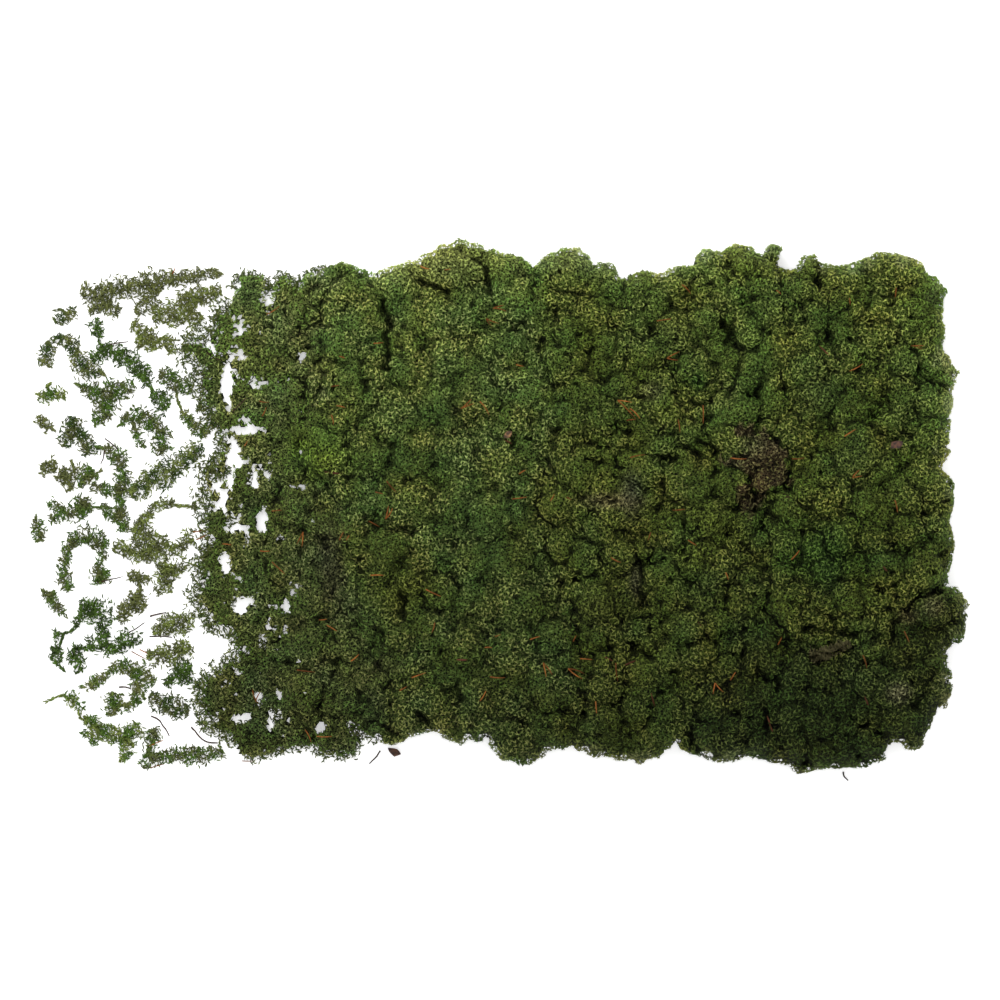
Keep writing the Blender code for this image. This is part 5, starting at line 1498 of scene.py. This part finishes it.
def moss_top(height, x, y):
    """Height of the moss at places, or of the fringe beyond it."""
    _, known = at_cells(height, np.asarray(x), np.asarray(y))
    return np.where(known, np.maximum(bilinear(height, x, y), FRINGE_TOP), FRINGE_TOP)


def build_needles(height):
    """The pine needles and bits of reddish bark, lying on the moss."""
    rng = np.random.default_rng(SEED + 1)
    parts = []
    lines = [(a, tip) for a, b, c in NEEDLE_PAIRS for tip in (b, c)]
    lines += [((x0, y0), (x1, y1)) for x0, y0, x1, y1 in NEEDLES]
    for a, b in lines:
        t = np.linspace(0, 1, len(NEEDLE_TAPER))
        bow = rng.uniform(-NEEDLE_BEND, NEEDLE_BEND) * np.sin(math.pi * t)
        x, y = metres(
            a[0] + (b[0] - a[0]) * t - (b[1] - a[1]) * bow,
            a[1] + (b[1] - a[1]) * t + (b[0] - a[0]) * bow,
        )
        z = moss_top(height, x, y)
        z = np.maximum(z, np.interp(t, (0, 1), (z[0], z[-1]))) * 0.5 + z.max() * 0.5 + NEEDLE_LIFT
        shade = linear(NEEDLE_COLOUR) * rng.uniform(*NEEDLE_SHADES)
        radii = NEEDLE_RADIUS * NEEDLE_TAPER
        parts.append(tube(np.column_stack([x, y, z]), radii, 4, rng, shade))
    for x0, y0, x1, y1 in RED_BITS:
        x, y = metres(*(np.linspace(*ends, len(RED_RADII)) for ends in ((x0, x1), (y0, y1))))
        z = moss_top(height, x, y) + RED_LIFT
        shade = linear(RED_COLOUR) * rng.uniform(*RED_SHADES)
        parts.append(tube(np.column_stack([x, y, z]), RED_RADII, 5, rng, shade, RED_ROUGH))
    piece = mesh_of("pine_needles", *joined(parts), [plain_material("pine_needle_skin", 0.55)])
    settle(piece, "pine_needle", *[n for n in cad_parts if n.startswith("needle_pair_")])


def build_twigs(height):
    """The source's twigs, and thinner ones that lie on the sprigs."""
    rng = np.random.default_rng(SEED + 2)
    parts = []
    twigs = [(run, TWIG_RADIUS, 0.0) for run in TWIGS]
    twigs += [(run, THIN_TWIG_RADIUS, THIN_TWIG_LIFT) for run in THIN_TWIGS]
    for run, radius, lift in twigs:
        path = chain_path([(x, y, 0) for x, y in run], TWIG_STEP)
        x, y = metres(path[:, 0], path[:, 1])
        x = x + rng.uniform(-1, 1, len(x)) * radius * TWIG_SHIFT
        z = np.where(at_cells(height, x, y)[0] > 0, moss_top(height, x, y), 0) + radius + lift
        radii = radius * np.linspace(*TWIG_TAPER, len(path))
        shade = linear(TWIG_COLOUR) * rng.uniform(*TWIG_SHADES)
        parts.append(tube(np.column_stack([x, y, z]), radii, 6, rng, shade, TWIG_ROUGH))
    piece = mesh_of("twigs", *joined(parts), [plain_material("twig_bark", 0.85)])
    settle(piece, "twig", *[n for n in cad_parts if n.startswith("twig_")])


def build_strand(height):
    """The dead grey strand: a soft rope of tangled threads, lying on the moss."""
    rng = np.random.default_rng(SEED + 3)

    def ground(x, y):
        return moss_top(height, x, y) + STRAND_LIFT

    def colour_at(places):
        return np.tile(linear(GREY_COLOUR), (len(places), 1))

    made = tufted([STRAND], ground, TUFT_HEIGHT, rng, colour_at, STRAND_DENSITY)
    piece = mesh_of("grey_strand_fibres", *made, [strand_material("grey_strand_skin")])
    settle(piece, "grey_brown_moss", "grey_strand")


def plain_material(name, roughness):
    """The point colour with streaks and a fine bump, for needles and twigs."""
    made, nodes, links, shader = material(name, roughness, 0.12)
    _, streak = grain(nodes, links, *WOOD_GRAIN)
    pattern = ramped(nodes, links, streak.outputs["Fac"], *WOOD_STOPS)
    links.new(scaled_tint(nodes, links, pattern), shader.inputs["Base Color"])
    bumped(nodes, links, streak.outputs["Fac"], shader, *WOOD_BUMP)
    return made


def bark_material(name, layers):
    """Flaking bark: dark and pale layers, with a rough surface."""
    made, nodes, links, shader = material(name, 0.85)
    _, flaky = grain(nodes, links, *BARK_GRAIN)
    stops = zip(BARK_STOPS, [linear(layer) for layer in layers])
    links.new(ramped(nodes, links, flaky.outputs["Fac"], *stops), shader.inputs["Base Color"])
    bumped(nodes, links, flaky.outputs["Fac"], shader, *BARK_BUMP)
    return made


def dress_flakes():
    """Bark for the source's three flakes; the second is the pale inside of its bark."""
    dark = bark_material("bark_dark", BARK_DARK)
    tan = bark_material("bark_tan", BARK_TAN)
    for name in ("bark_flake_01", "bark_flake_02", "bark_flake_03"):
        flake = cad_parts[name]
        flake.material_slots[0].material = tan if name == "bark_flake_02" else dark


def stage():
    """A pale floor, a white studio, one soft light and a camera straight above."""
    scene = bpy.context.scene
    floor_mesh = bpy.data.meshes.new("floor")
    corners = [(-1, -1), (1, -1), (1, 1), (-1, 1)]
    floor_mesh.from_pydata(
        [(x * FLOOR_SIDE, y * FLOOR_SIDE, FLOOR_LEVEL) for x, y in corners], [], [(0, 1, 2, 3)]
    )
    floor = bpy.data.objects.new("floor", floor_mesh)
    scene.collection.objects.link(floor)
    made, _, _, shader = material("floor", 0.9)
    shader.inputs["Base Color"].default_value = (0.9, 0.9, 0.9, 1)
    shader.inputs["Emission Color"].default_value = (1, 1, 1, 1)
    shader.inputs["Emission Strength"].default_value = FLOOR_GLOW
    floor_mesh.materials.append(made)
    world = bpy.data.worlds.new("studio")
    scene.world = world
    world.use_nodes = True
    background = world.node_tree.nodes["Background"]
    background.inputs["Color"].default_value = (1, 1, 1, 1)
    background.inputs["Strength"].default_value = 1.0
    light = bpy.data.lights.new("key", "AREA")
    light.shape = "RECTANGLE"
    light.size, light.size_y = KEY_SIZE
    light.energy = KEY_POWER
    lamp = bpy.data.objects.new("key", light)
    lamp.location = KEY_PLACE
    lamp.rotation_euler = (*(math.radians(turn) for turn in KEY_TURN), 0)
    scene.collection.objects.link(lamp)
    camera = bpy.data.cameras.new("camera")
    camera.sensor_width = 36
    camera.lens = camera.sensor_width * (CAMERA_HEIGHT - FOCUS_HEIGHT) / (1000 * PIXEL)
    camera.clip_end = 50
    eye = bpy.data.objects.new("camera", camera)
    eye.location = (*metres(500, 500), CAMERA_HEIGHT)
    scene.collection.objects.link(eye)
    scene.camera = eye
    scene.view_settings.view_transform = "Standard"


stage()
height = build_clumps()
build_fringe(height)
build_needles(height)
build_twigs(height)
build_strand(height)
dress_flakes()
